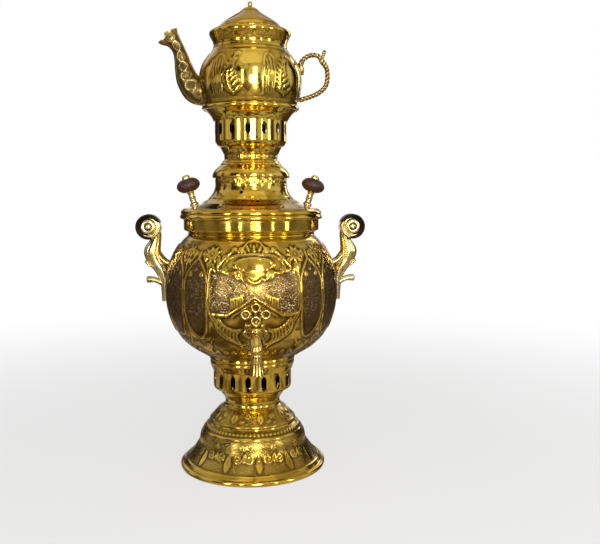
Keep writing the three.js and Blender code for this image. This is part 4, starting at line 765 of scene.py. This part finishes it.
def makeKnob(name, side, k, seat):
    tilt = math.radians(seat["knobLean"])
    lean = (side * math.sin(tilt), 0, math.cos(tilt))
    spot = (side * seat["knobOut"], axisY, seat["knobHeight"])
    r, w, t, cap, stem, bore = (k[key] for key in ("radius", "wood", "woodTop", "cap", "stem", "bore"))
    stemLine = outline([(0, -9), (stem - 0.1, -8.6), (stem, -8)], [(stem, 0.3)],
                       [(5.2, 0.3), (5.4, 1.2), (4.9, 2.4)], [(3.7, 3.4), (3.5, 6)], [(4.1, 7), (3.5, 8)],
                       [(4.2, 9.2), (3.5, 10.4)], [(3.6, 13.4), (4.7, w - 0.3)], [(stem, w - 0.3)],
                       [(stem, t + 2.3)], [(0, t + 2.3)], pitch=0.5)
    woodLine = outline([(bore, w), (r - 7.2, w)],
                       [(r - 3.4, w + 2), (r - 0.8, w + 4.8), (r, w + 7.8), (r - 0.9, w + 10.8),
                        (r - 3.6, w + 13.8), (r - 7, t)], [(bore, t)], [(bore, w + 0.2)], pitch=0.6)
    capLine = outline([(bore, t + 0.3), (5, t + 0.3)],
                      [(4.9, cap - 2.8), (3.6, cap - 0.8), (1.6, cap - 0.1), (0, cap)], pitch=0.4)
    capInside = np.array([(1e-3, cap), (1e-3, cap - 1.8), (bore, cap - 1.8)])
    for kind, piece, finish, slot in (
            ("knob_stem", spin("stem", stemLine, columns=48), castBrass, "cast_brass"),
            ("knob", spin("wood", woodLine[:-1], [woodLine[-1]], 72), knobWood, "knob_wood"),
            ("knob_cap", spin("cap", capLine[:-1], capInside, 48), castBrass, "cast_brass")):
        node = f"{kind}_{name}"
        piece.name = f"{node}_turned"
        dress(turnedTo(piece, spot, lean), finish, "lid", slot, node)


for name, side in (("right", 1), ("left", -1)):
    makeKnob(name, side, knobSizes, lidSizes)
print("neck, lid and knobs ready")


# Crown

crownSizes = {"base": 347.4, "waist": 31.5, "leaves": 30, "joint": 382.8, "top": 413, "radius": 42.2,
              "vents": 14, "turn": -6, "middle": 403.4, "height": 15, "width": 6.4, "tip": 3.4}


def makeCrownBase(k):
    r, joint = k["waist"], k["joint"]
    skin = outline([(45.6, k["base"]), (46, 349.8)], [(44.6, 354), (41.4, 358.2), (37.4, 361.6)],
                   [(36.2, 362.4), (36, 363.6), (34.6, 365)], [(33.2, 367.4)],
                   [(r + 0.1, 368.4), (r, 372), (r + 0.3, 375)],
                   [(r + 1.5, 376.4), (r + 3.3, joint - 2.8), (r + 4.9, joint)], pitch=0.8)
    c = Chasing(skin, 300)
    for i in range(k["leaves"]):
        turn = i * 360 / k["leaves"]
        c.leaf(turn, 369.2, 90, 5.4, 1.3, 0.3)
        c.dot(turn + 6, 371.6, 1.0, 0.3)
    c.ridge(368.3, 0.7, 0.3)
    c.ridge(375.4, 0.7, 0.3)
    inside = [(r + 3.6, joint), (30.5, 375), (30.2, 370), (33, 365), (36, 361), (40, 357.4), (43.2, 353.4),
              (43.4, 351.7), (28.6, 351.7), (28.6, 350.4), (43, 350.4), (43, k["base"])]
    return spin("crown_skirt", skin, inside, chasing=c, soot=True)


def makeCrownDrum(k):
    r, joint = k["radius"], k["joint"]
    skin = outline([(r - 5.8, joint), (r - 2.6, joint + 2.2), (r - 1.6, joint + 3.8)],
                   [(r - 0.2, joint + 6.2), (r, joint + 8)], [(r, k["top"])], pitch=1.2)
    return drum("crown_drum", k, skin, Chasing(skin, 280))


dress(makeCrownBase(crownSizes), spunBrass, "crown", "spun_brass", "crown_base")
dress(makeCrownDrum(crownSizes), spunBrass, "crown", "spun_brass", "crown_gallery")
print("crown ready")


# Teapot

potSizes = {"radius": 59.6, "centre": 459.4, "below": 66, "above": 51, "seam": 425.9, "brim": 516.8,
            "ferns": 6, "leaves": 40, "spout": 447.4, "rivets": (477.4, 438.4)}


def potRadius(z, p):
    reach = np.where(z < p["centre"], p["below"], p["above"])
    return p["radius"] * np.sqrt(np.clip(1 - ((z - p["centre"]) / reach) ** 2, 0, 1))


def makePot(p):
    seam, brim = p["seam"], p["brim"]
    z = np.concatenate([np.linspace(seam, 431.4, 4), np.linspace(432, 492, 52)])
    belly = np.stack([potRadius(z, p), z], 1)
    neck = outline([belly[-1], (43.2, 496.5), (42.9, 501.5), (45.8, brim - 8), (47.6, brim - 4.5),
                    (47, brim - 1.6), (44.8, brim)], pitch=1.0)
    skin = np.concatenate([belly, neck[1:]])
    c = Chasing(skin, 420)
    for i in range(p["ferns"]):  # a fern and a few reeds, with dark diamonds between them: painted reflections
        turn = i * 360 / p["ferns"] - 26
        c.across([(turn + 5, 439), (turn - 1, 452), (turn, 468), (turn + 7, 482)], 1.3, 0.9)
        for k in range(7):
            for way in (-1, 1):
                c.leaf(turn + (k - 3) ** 2 * 0.5, 441 + 5.4 * k, 90 + way * (58 - 4 * k), 13.5 - k, 2.5, 0.9)
        c.daisy(turn + 9, 484, 4.4, 7, 0.8)
        for k in range(4):
            c.leaf(turn + 42 + 2.8 * k, 439, 94 - 2 * k, 45 - 4 * abs(k - 1.5), 2.2, 0.75)
        reed = ((38, 439), (38.6, 462), (43, 482), (48, 484), (54, 478))
        c.across([(turn + u, h) for u, h in reed], 1.1, 0.7)
    # painted reflection: dark diamonds on the ground either side of the highlight, every 60 degrees; below z
    # 452 the ground is darker
    beside = np.abs(np.abs((c.degrees + 27) % 60 - 30) - 8)[None, :]
    c.darken(0.95 * (beside / 6 + np.abs(skin[:, 1] - 447.5)[:, None] / 7 < 1))
    c.darken(0.3 * (skin[:, 1] < 452)[:, None])
    for height, width, rise in ((434.5, 1.0, 0.5), (488.5, 0.9, 0.35), (493.4, 0.9, 0.4), (497.4, 1.1, 0.5)):
        c.ridge(height, width, rise)
    for i in range(p["leaves"]):
        c.leaf(i * 360 / p["leaves"], 506.4, 80, 5, 1.5, 0.3)
    inside = [(40, brim), (42.6, 507), (41.6, 501.5), (42, 496.5), (45.6, 491), (55.4, 475), (58.2, 459.4),
              (56.8, 445), (53, 431), (49.8, seam)]
    pot = spin("teapot_belly", skin, inside, chasing=c)
    tools = []  # the strainer behind the spout, and the holes for the rivets
    for row in (-1, 0, 1):
        for column in ((-1, 0, 1) if row == 0 else (-0.5, 0.5)):
            spot = (-68, axisY + column * 6.2, p["spout"] + row * 5.4)
            tools.append(turnedTo(rod(2.2, 0, 30), spot, (1, 0, 0)))
    for height in p["rivets"]:
        tools.append(turnedTo(rod(1.8, 0, 40), (75, axisY, height), (-1, 0, 0)))
    return combine(pot, tools, "DIFFERENCE")


coneSizes = {"base": 407, "seat": 413, "top": 425.6, "plug": 40.4}


def makePotFoot(p):  # a plug that sits in the crown, under a cone
    r, base, seat, top = p["plug"], p["base"], p["seat"], p["top"]
    skin = outline([(0, base), (r, base)], [(r, seat)], [(r + 3.4, seat)],
                   [(45, seat + 3), (48.6, seat + 8), (53.8, top)], pitch=1.2)
    inside = [(51.8, top), (47, top - 5), (42.5, seat + sheet), (r - sheet, seat), (r - sheet, base + sheet),
              (0, base + sheet)]
    cone = spin("teapot_cone", np.concatenate([skin, inside]), columns=200)
    return stain(cone, "soot", lambda x, y, z: (z < seat - 0.1) | (np.hypot(x, y) < r - 0.9))


def makePotRing(p):
    base = p["top"]
    skin = outline([(54.8, base), (55.2, base)],
                   [(56.8, base + 1), (57.2, base + 2.8), (56.4, base + 4.6), (55.2, base + 5.4)],
                   [(54.8, base + 5.8)], pitch=0.7)
    return spin("teapot_bead", skin, [(54.8, base + 4.4), (54.8, base + 1.4)], 200)


coverSizes = {"base": 516.8, "radius": 42, "shoulder": 37.4, "top": 544.2, "hole": 1.7}


def makePotLid(p):  # a thin brim, then an ogee that ends in a small neck
    r, base, shoulder, top, hole = (p[key] for key in ("radius", "base", "shoulder", "top", "hole"))
    skin = outline([(35.4, base), (r - 0.2, base)], [(r, base + 0.8), (r - 1, base + 1.8)],
                   [(shoulder, base + 2.6)],
                   [(36.2, base + 4.6), (33.2, 524.8), (27.4, 529), (17.4, 535.2), (12.4, 538.3)],
                   [(10.6, 540.2), (7.8, top - 1.6), (4.6, top - 0.2)], [(hole, top)], pitch=0.9)
    inside = [(hole, top - sheet), (4.2, top - 1.6), (6.8, 541.3), (9.4, 539.2), (11.6, 537.2), (16.6, 534),
              (26.6, 527.6), (32, 523.8), (35, 520.6), (35.4, base + 1.4)]
    return spin("teapot_cover", skin, inside, chasing=Chasing(skin, 200))


finialSizes = {"seat": 544.2, "stud": 1.5, "ball": 2.7, "ballHeight": 547.8, "rise": 3.4}


def makeFinial(p):
    stud, seat = p["stud"], p["seat"]
    a = np.linspace(-1.1, math.pi / 2, 16)
    bulb = np.stack([p["ball"] * np.cos(a), p["ballHeight"] + p["rise"] * np.sin(a)], 1)
    bulb[-1, 0] = 0
    stem = [(0, seat - 6), (stud, seat - 6), (stud, seat), (3, seat), (2.6, seat + 0.4), (1.7, seat + 0.6)]
    skin = np.concatenate([stem, bulb[1:]])
    return spin("teapot_finial_ball", skin, columns=40)


def potPlug():  # the belly a little larger, to trim what is soldered on
    z = np.linspace(potSizes["seam"], 492, 40)
    belly = np.stack([potRadius(z, potSizes) + 0.25, z], 1)
    return spin("plug", np.concatenate([[(0, 420)], [(50, 420)], belly, [(0, 492)]]), columns=200)


spoutSizes = {"root": -54.2, "rows": 84, "sides": 72, "wall": 1.5, "waves": 22, "relief": 0.42,
              # how far the lip stands out, from the top of the beak to its tip
              "lip": [(-1, 0), (-0.4, 3), (0.15, 5), (0.42, 0), (0.75, 2), (1, 3)]}


def makeSpout(p, z):
    x = p["root"]
    stations = [(x, z, 33, 26), (x - 9, z + 1, 31, 25), (x - 18, z + 12, 27, 22), (x - 22.5, z + 25, 22, 18),
                (x - 25, z + 36, 18, 15), (x - 29, z + 48, 15, 13), (x - 34, z + 56, 17.5, 13.5),
                (x - 40, z + 62.5, 27, 14)]
    path = run(stations, 1.4)
    along = np.gradient(path[:, :2], axis=0)
    along /= np.linalg.norm(along, axis=1)[:, None]
    a = np.arange(p["sides"]) * 2 * math.pi / p["sides"]
    lip = np.interp(np.cos(a), *zip(*p["lip"]))
    face = (a % math.pi) - math.pi / 2  # from the middle of a face
    patinaAndShade = []

    def relief(t):  # a vine between two ribs, on both faces
        swing = math.sin(t * p["waves"])
        vine = (np.exp(-((face - 0.55 * swing) / 0.11) ** 2)
                + 0.7 * np.exp(-((face + 0.55 * swing) / 0.08) ** 2))
        bud = np.exp(-(face / 0.2) ** 2) * max(0, swing) ** 2
        rib = np.exp(-((np.abs(face) - 0.98) / 0.1) ** 2)
        fade = np.clip(t / 0.06, 0, 1) * np.clip((0.98 - t) / 0.06, 0, 1)
        height = p["relief"] * np.clip(vine + 0.6 * bud + rib, 0, 1) * fade
        dark = np.clip(0.9 - 2 * height, 0, 1) * (np.abs(face) < 1.0) * fade
        return height, np.maximum(dark, 0.85 * (t > 0.93) * (np.abs(np.cos(a)) < 0.55))

    def ring(t, shrink, stretch=0):  # stretch: 1 at the edge of the lip
        at = t * (len(path) - 1)
        px, pz, wide, deep = (np.interp(at, np.arange(len(path)), path[:, k]) for k in range(4))
        ax, az = (np.interp(at, np.arange(len(path)), along[:, k]) for k in range(2))
        height, dark = relief(t) if not shrink else (0, 0 * a)
        patinaAndShade.append(dark * (1 - stretch))
        side, depth = np.cos(a) * (wide / 2 - shrink + height), np.sin(a) * (deep / 2 - shrink + height)
        reach = lip * stretch
        return np.stack([px - az * side + ax * reach, axisY + depth, pz + ax * side + az * reach], 1)

    rows = [ring(t, 0) for t in np.linspace(0, 1, p["rows"])] + [ring(1, 0, f) for f in (0.33, 0.66, 1)]
    rows += [ring(1, p["wall"], f) for f in (1, 0.6, 0.3)]
    rows += [ring(t, p["wall"]) for t in np.linspace(1, 0, 40)]
    faces = [corners[::-1] for corners in loops(rows, p["sides"], True)]
    spout = meshPiece("teapot_spout_cast", np.concatenate(rows), faces, {"patinaAndShade": np.concatenate(patinaAndShade)})
    return combine(spout, [potPlug()], "DIFFERENCE")


loopSizes = {"root": 60.2, "reach": 91.2, "bar": 5.4, "twist": 150, "hole": 1.75}


def makePotHandle(p, middle, upper, lower):  # a loop of rope, with a rest for the thumb
    r, reach, w, d = p["root"], p["reach"], p["bar"], p["bar"] + 1

    def rope(t, a):
        return 0.97 + 0.11 * np.sin(3 * a + t * p["twist"]) + 0.05 * np.sin(6 * a + 2 * t * p["twist"])

    def ribs(t, a):
        return 1 + 0.12 * np.sin(t * 30)

    stations = [(r - 1.5, upper + 2, w + 1.2, 8), (r + 2.5, upper + 9, w, d),
                (r + 11, upper + 13.6, w - 0.2, d), (r + 20, upper + 12.6, w - 0.2, d),
                (reach - 6, upper + 6, w + 0.8, d), (reach - 1, middle + 16, w, d),
                (reach - 1.6, middle - 2, w, d), (reach - 9.5, middle - 11, w, d),
                (r + 10.5, lower + 4.6, w, d), (r - 1.5, lower + 0.6, w + 0.2, 7)]
    handle = sweep("teapot_handle_rope", stations, 28, 0.7, rope)
    rest = [(reach - 8, upper + 6, 4, 5), (reach - 5.4, upper + 13, 3.6, 4.4),
            (reach - 4, upper + 18, 4.6, 5)]
    thumb = sweep("thumb", rest, 20, 0.8, ribs, dome=0.9)
    root = [(r - 1.5, upper + 4, 5, 8), (r - 0.4, upper - 3, 7, 8), (r + 0.6, upper - 8, 4, 5)]
    combine(handle, [thumb, sweep("pad", root, 24, 0.8, dome=0.8)])
    holes = [turnedTo(rod(p["hole"], 0, 40), (r - 26, axisY, height), (1, 0, 0)) for height in (upper, lower)]
    return combine(handle, [potPlug()] + holes, "DIFFERENCE")


dress(makePot(potSizes), spunBrass, "teapot", "spun_brass", "teapot_body")
dress(makePotFoot(coneSizes), spunBrass, "teapot", "spun_brass", "teapot_foot")
dress(makePotRing(coneSizes), spunBrass, "teapot", "spun_brass", "teapot_ring")
dress(makePotLid(coverSizes), spunBrass, "teapot_lid", "spun_brass", "teapot_lid")
dress(makeFinial(finialSizes), tapBrass, "teapot_lid", "cast_brass", "teapot_finial")
dress(makeSpout(spoutSizes, potSizes["spout"]), agedBrass, "teapot", "cast_brass", "teapot_spout")
dress(makePotHandle(loopSizes, potSizes["centre"], *potSizes["rivets"]), agedBrass, "teapot", "cast_brass",
      "teapot_handle")
print("teapot ready")


# Scroll handles

scrollSizes = {"out": 121.2, "up": 290, "stem": 10, "depth": 16, "eye": 4, "clearance": 1}


def makeScroll(name, side, p):
    out, up, w, d = p["out"], p["up"], p["stem"], p["depth"]

    def reeded(t, a):  # a groove near each edge of a face
        return 1 - 0.09 * np.exp(-((np.abs(np.sin(a)) - 0.86) / 0.1) ** 2) + 0.03 * np.cos(2 * a)

    stations = [(out - 6, up + 2, w, d), (out - 9.4, up - 8, w, d), (out - 7, up - 19, w + 4, d),
                (out - 4, up - 30, w + 10, d + 2), (out - 7, up - 40, w + 7, d + 1),
                (out - 14, up - 51, w + 5, d), (out - 18, up - 64, w + 2, d - 2),
                (out - 18, up - 76, w - 1, d - 3), (out - 18.6, up - 88, w - 1, d - 4)]
    handle = sweep(f"scroll_handle_{name}", stations, 40, 1.0, reeded, dome=0.2)
    branch = [(out - 10, up - 33, 10, 13), (out - 18, up - 41, 8, 12), (out - 26, up - 45, 8, 12)]
    leaf = [(out - 15, up - 67, 7, 11), (out - 6, up - 63, 6.4, 11), (out + 2, up - 62.6, 8, 12)]
    curl = [(out - 12, up - 44, 5, 15), (out - 2, up - 46, 4, 14), (out + 3.2, up - 41, 4.6, 14)]
    face = [(14.8, 9.4), (14.2, 11.4), (12.9, 12), (11.6, 11.4), (11.2, 9.6), (10.4, 9.3), (9.4, 9.8),
            (8, 11), (5.8, 11.7), (4.4, 11.4), (4, 10.6), (3.2, 10.9), (2.4, 11.8), (1.2, 12), (0, 12)]
    edge = run(face, 0.7)
    edge[-1, 0] = 0
    volute = spin("volute", np.concatenate([edge[::-1] * (1, -1), edge]), columns=96)
    combine(handle, [sweep("branch", branch, 32, 1.0, reeded), sweep("leaf", leaf, 32, 1.0, reeded),
                     sweep("curl", curl, 28, 1.0, dome=0.8), turnedTo(volute, (out, axisY, up), (0, 1, 0))])
    z = np.linspace(190, 270, 60)
    belly = bellyRadius(z, {**tankSizes, "radius": tankSizes["radius"] + p["clearance"]})
    plug = spin("plug", np.concatenate([[(0, 190)], np.stack([belly, z], 1), [(0, 270)]]), columns=240)
    combine(handle, [plug], "DIFFERENCE")

    def shadeAndWear(x, y, z):  # painted shade: the dark outer crescent of the volute and the darker edges of the stem; also a dark ring round the volute's eye
        across = np.hypot(x - out, z - up)
        band = (across > 12) & (np.abs(y) < 9) | (np.hypot(x - out + 2, z - up + 1) > 10.6)
        crescent = band & (across < 15.2) & ((x > out - 4) | (z > up + 5))
        stem = (across > 15.2) & (np.abs(y) < 4) & (z > 230)
        return np.maximum(crescent | (np.abs(across - p["eye"]) < 0.7), 0.4 * stem)

    stain(handle, "patinaAndShade", shadeAndWear)
    if side < 0:
        for v in handle.data.vertices:
            v.co.x = -v.co.x
        handle.data.flip_normals()
    return handle


for name, side in (("right", 1), ("left", -1)):
    dress(makeScroll(name, side, scrollSizes), castBrass, "samovar_body", "cast_brass", f"handle_{name}")
print("handles ready")


# Tap

tapSizes = {"height": 178, "plug": -130, "spout": -147, "nozzle": 144, "nozzleLength": 22, "flutes": 6,
            "rosette": 14.6, "lobes": 8, "keySeat": 188.3, "keyCentre": 204.2, "ringAcross": 10.5,
            "ringUp": 7}


def makeTap(t):
    h, plug, spout, end = t["height"], t["plug"], t["spout"], t["nozzle"]
    top = end + t["nozzleLength"]
    skin = outline([(0, h - 10), (8.4, h - 10)], [(8.9, h - 9), (8.5, h - 7)],
                   [(8.8, h - 4), (10, h - 2), (10.2, h), (10, h + 2), (8.8, h + 4), (8.5, h + 7)],
                   [(9.6, h + 8), (9.6, h + 10)], [(0, h + 10)], pitch=0.7)
    tap = turnedTo(spin("tap_cast", skin, columns=72), (0, axisY + plug, 0), (0, 0, 1))
    bar = outline([(0, 0), (7, 0)], [(7, 17.6)], [(10, 18.6), (10, 20), (8.4, 22.4)],
                  [(7.4, 26), (7, 42), (6.6, 49)], [(0, 49)], pitch=0.8)
    shank = turnedTo(spin("shank", bar, columns=64), (0, axisY - 80.6, h), (0, -1, 0))
    bend = [(plug + 2, h, 14, 14), (plug - 9, h - 0.4, 14, 14), (spout + 0.6, h - 7.6, 13, 14),
            (spout, top - 1, 11.5, 12), (spout, end + 13, 12.2, 12.2)]
    pipe = sweep("pipe", bend, 48, 0.9, flat="yz", dome=0.3)
    flare = outline([(0, top), (5.4, top)], [(6.4, top - 1.6), (5.8, top - 3.4)],
                    [(6.2, end + 13), (7.2, end + 6), (8.5, end)], [(7.3, end)], [(5, end + 9)],
                    [(0, end + 9)], pitch=0.7)[::-1]
    c = Chasing(flare, 120)
    outer = flare[:, 0] > np.interp(flare[:, 1], [end, end + 9, top], [7.9, 5.2, 5])
    wave = np.abs(np.sin(c.turns * t["flutes"]))[None, :]
    fluted = (np.clip((top - 5 - flare[:, 1]) / 5, 0, 1) * outer)[:, None]
    c.height = -0.65 * wave * fluted
    c.darken(0.8 * wave ** 4 * fluted)
    nozzle = turnedTo(spin("nozzle", flare, chasing=c), (0, axisY + spout, 0), (0, 0, 1))
    combine(tap, [shank, pipe, nozzle])
    cone = np.array([(0, h - 18), (5.2, h - 18), (6.9, h + 14), (0, h + 14)], float)
    taper = turnedTo(spin("taper", cone, columns=64), (0, axisY + plug, 0), (0, 0, 1))
    return combine(tap, [taper], "DIFFERENCE")


def makeTapKey(t):  # four rings in a cross, with knots between them, in one piece with the taper plug
    seat, centre, across, rise = t["keySeat"], t["keyCentre"], t["ringAcross"], t["ringUp"]
    place = (0, axisY + t["plug"], 0)
    skin = outline([(0, 160.4), (2.8, 160.6), (3, 161)], [(3, 169)], [(5.2, 169)], [(6.4, seat)],
                   [(8, seat)], [(8, seat + 1.1), (6.6, seat + 2.3), (4.6, seat + 3.1)],
                   [(3.8, seat + 4.3), (3.6, seat + 5.7)], [(0, seat + 5.7)], pitch=0.6)
    key = turnedTo(spin("tap_key_cast", skin, columns=64), place, (0, 0, 1))
    a = np.linspace(0, 2 * math.pi, 25)[:-1]
    tube = np.stack([4.1 + 2 * np.cos(a), 2.5 * np.sin(a)], 1)
    lump = run([(0, -2.3), (2.2, -1.6), (2.8, 0), (2.2, 1.6), (0, 2.3)], 0.5)
    rings = ((0, rise), (-across, 0), (across, 0), (0, -rise))
    knots = ((0, 2.6), (-5.4, 0), (5.4, 0), (0, -2.6), (0, 0), (-5, 3.4), (5, 3.4), (-5, -3.4), (5, -3.4))
    tools = []
    for x, z in rings:
        tools.append(turnedTo(spin("ring", tube[:12], tube[12:], 48), (x, place[1], centre + z), (0, -1, 0)))
    for x, z in knots:
        knot = spin("knot", lump, columns=24)
        knot.data.vertices[0].co.x = 0
        tools.append(turnedTo(knot, (x, place[1], centre + z), (0, -1, 0)))

    def inRings(x, y, z):
        reach = np.min([np.hypot(x - u, z - centre - v) for u, v in rings], axis=0)
        return 0.95 * ((reach < 2.7) | (reach > 5.3)) * (z > centre - across - 3)

    return stain(combine(key, tools), "patinaAndShade", inRings)


def makeRosette(t):  # a lobed plate that follows the belly
    lobes, sides, size = t["lobes"], 160, t["rosette"]
    a = np.arange(sides) * 2 * math.pi / sides
    edge = size * (0.93 + 0.07 * np.cos(lobes * a))
    shares = np.linspace(7.4 / size, 1, 18)
    rows = []
    for face in (0, 1):
        for share in (shares if face else shares[::-1]):
            r = edge * share if share > 0.56 else np.full(sides, size * share)
            dome = 1.4 * max(0, math.sin(math.pi * (share - 0.5) / 0.5))
            dome = dome + 0.35 * np.cos(lobes * a) * (share > 0.6)
            x, z = r * np.sin(a), t["height"] + r * np.cos(a)
            surface = np.sqrt(np.maximum(bellyRadius(z, {**tankSizes, "radius": 103}) ** 2 - x**2, 1))
            rows.append(np.stack([x, axisY - surface - (1.0 + dome if face else 0.4), z], 1))
    return meshPiece("tap_rosette_cast", np.concatenate(rows), loops(rows, sides, True))


dress(makeTap(tapSizes), tapBrass, "samovar_body", "cast_brass", "tap_body")
dress(makeTapKey(tapSizes), tapBrass, "tap_plug", "cast_brass", "tap_key")
dress(makeRosette(tapSizes), tapBrass, "samovar_body", "cast_brass", "tap_rosette")
print("tap ready")


# The nodes that keep their shape

slotFinishes = {"spun_brass": spunBrass, "cast_brass": castBrass, "tube_steel": tubeSteel,
                "grate_iron": grateIron, "knob_wood": knobWood, "washer_rubber": fibre}
for entry in frame["record"]["subparts"]:
    node = frame["nodes"][entry["node"]]
    if not node.hide_render:
        node.data.materials.clear()
        node.data.materials.append(slotFinishes[entry["material_slot"]])


# Floor, light and camera

room = {"dark": (0.012, 0.008, 0.005, 1), "light": (0.68, 0.66, 0.70, 1), "ceiling": (0.42, 0.37, 0.20, 1),
        "floor": (0.62, 0.61, 0.60, 1), "mirroredFloor": (0.09, 0.055, 0.03, 1),
        "mirroredRug": (0.66, 0.62, 0.58, 1), "white": (1, 1, 1, 1), "floorGlow": 0.64, "around": 0.46}
lamps = {"key": {"turn": 9, "away": 1500, "up": 620, "size": (180, 1300), "power": 6.0},
         "front": {"turn": 3, "away": 1300, "up": 440, "size": (240, 340), "power": 4.4},
         "window": {"turn": -40, "away": 1600, "up": 500, "size": (200, 960), "power": 4.2},
         "leftStrip": {"turn": -19, "away": 1600, "up": 560, "size": (70, 1000), "power": 1.5},
         "rightStrip": {"turn": 33, "away": 1600, "up": 560, "size": (90, 1000), "power": 1.8},
         "sideWindow": {"turn": 58, "away": 1600, "up": 600, "size": (150, 900), "power": 2.4},
         "top": {"turn": 10, "away": 500, "up": 1700, "size": (1300, 1300), "power": 2.2},
         "rear": {"turn": 140, "away": 1500, "up": 800, "size": (300, 900), "power": 1.6}}
view = {"camera": (-27, -910, 331), "heading": 5.36, "dip": 6.03, "lens": 45.48}


def layFloor():  # white to the camera away from the foot, a dark floor with a pale rug in the mirrors
    corners = [(x, y, 0) for x, y in ((-9000, -9000), (9000, -9000), (9000, 9000), (-9000, 9000))]
    floor = meshPiece("floor", corners, [(0, 1, 2, 3)])
    material = bpy.data.materials.new("paleFloor")
    s = Shader(material)
    camera, mirrored = s.rays()
    away = s.node("ShaderNodeVectorMath", {"operation": "LENGTH"}, {0: s.place()}, 1)
    direction = s.node("ShaderNodeVectorMath", {"operation": "NORMALIZE"}, {0: s.place()})
    behind = s.node("ShaderNodeSeparateXYZ", {}, {0: direction}, 1)
    fromFoot = s.node("ShaderNodeVectorMath", {"operation": "DISTANCE"},
                      {0: s.place(), 1: (0, axisY / 1000, 0)}, 1)
    far = away.ramp(0.3, 1.0)
    patches = s.noise(7.0, 3.0).ramp(0.42, 0.58) * (1 - 0.95 * behind.ramp(0.22, 0.48) * far)
    rug = s.mixed(patches, room["mirroredFloor"], room["mirroredRug"])
    plain = s.node("ShaderNodeBsdfDiffuse", {}, {"Color": s.mixed(mirrored, room["floor"], rug)})
    white = s.node("ShaderNodeEmission", {}, {"Color": room["white"]})
    glow = room["floorGlow"] + (1 - room["floorGlow"]) * away.ramp(0.25, 1.3)
    seen = camera * fromFoot.ramp(0.07, 0.08) * glow
    reflected = mirrored * behind.ramp(0.92, 0.985) * far * room["floorGlow"]
    mix = s.node("ShaderNodeMixShader", {}, {0: seen + reflected, 1: plain, 2: white})
    s.node("ShaderNodeOutputMaterial", {}, {"Surface": mix})
    floor.data.materials.append(material)


def hangRoom():  # white to the camera, pale and dark walls in the mirrors, a plain level for the rest
    world = bpy.data.worlds.new("studio")
    bpy.context.scene.world = world
    s = Shader(world)
    camera, mirrored = s.rays()
    ahead = s.node("ShaderNodeTexCoord", output="Generated")
    backward = s.node("ShaderNodeVectorMath", {"operation": "DOT_PRODUCT"},
                      {0: ahead, 1: (0.093, 0.995, 0)}, 1)
    upward = s.node("ShaderNodeSeparateXYZ", {}, {0: ahead}, 2)
    bands = s.node("ShaderNodeVectorMath", {"operation": "MULTIPLY"}, {0: ahead, 1: (1, 1, 0.45)})
    shapes = s.node("ShaderNodeTexNoise", {}, {"Vector": bands, "Scale": 3.4, "Detail": 3.0}) + 0.1 * upward
    gloom = 0.9 * backward.ramp(0.22, 0.48) * (1 - upward.ramp(0.2, 0.42))
    walls = s.mixed(shapes.ramp(0.44, 0.6) * (1 - gloom), room["dark"], room["light"])
    walls = s.mixed(upward.ramp(0.45, 0.85) * 0.75, walls, room["ceiling"])
    seen = s.mixed((camera + backward.ramp(0.92, 0.985)).clamped(), walls, room["white"])
    backdrop = s.node("ShaderNodeBackground", {}, {"Color": seen, "Strength": 1.0})
    around = s.node("ShaderNodeBackground", {}, {"Color": room["white"], "Strength": room["around"]})
    mix = s.node("ShaderNodeMixShader", {}, {0: (camera + mirrored).clamped(), 1: around, 2: backdrop})
    s.node("ShaderNodeOutputWorld", {}, {"Surface": mix})


layFloor()
hangRoom()
for name, lamp in lamps.items():
    light = bpy.data.lights.new(name, "AREA")
    light.shape, light.energy = "RECTANGLE", lamp["power"]
    light.size, light.size_y = lamp["size"][0] / 1000, lamp["size"][1] / 1000
    holder = bpy.data.objects.new(name, light)
    turn = math.radians(lamp["turn"])
    spot = (lamp["away"] * math.sin(turn), axisY - lamp["away"] * math.cos(turn), lamp["up"])
    holder.location = Vector(spot) * 0.001
    holder.rotation_euler = (Vector((0, 0, 0.28)) - holder.location).to_track_quat("-Z", "Y").to_euler()
    collection.objects.link(holder)

camera = bpy.data.objects.new("camera", bpy.data.cameras.new("camera"))
camera.data.lens = view["lens"]
camera.location = (view["camera"][0] * 0.001, (axisY + view["camera"][1]) * 0.001, view["camera"][2] * 0.001)
camera.rotation_euler = (math.radians(90 - view["dip"]), 0, math.radians(-view["heading"]))
collection.objects.link(camera)
bpy.context.scene.camera = camera
bpy.context.scene.view_settings.view_transform = "Standard"
print("floor, light and camera ready")
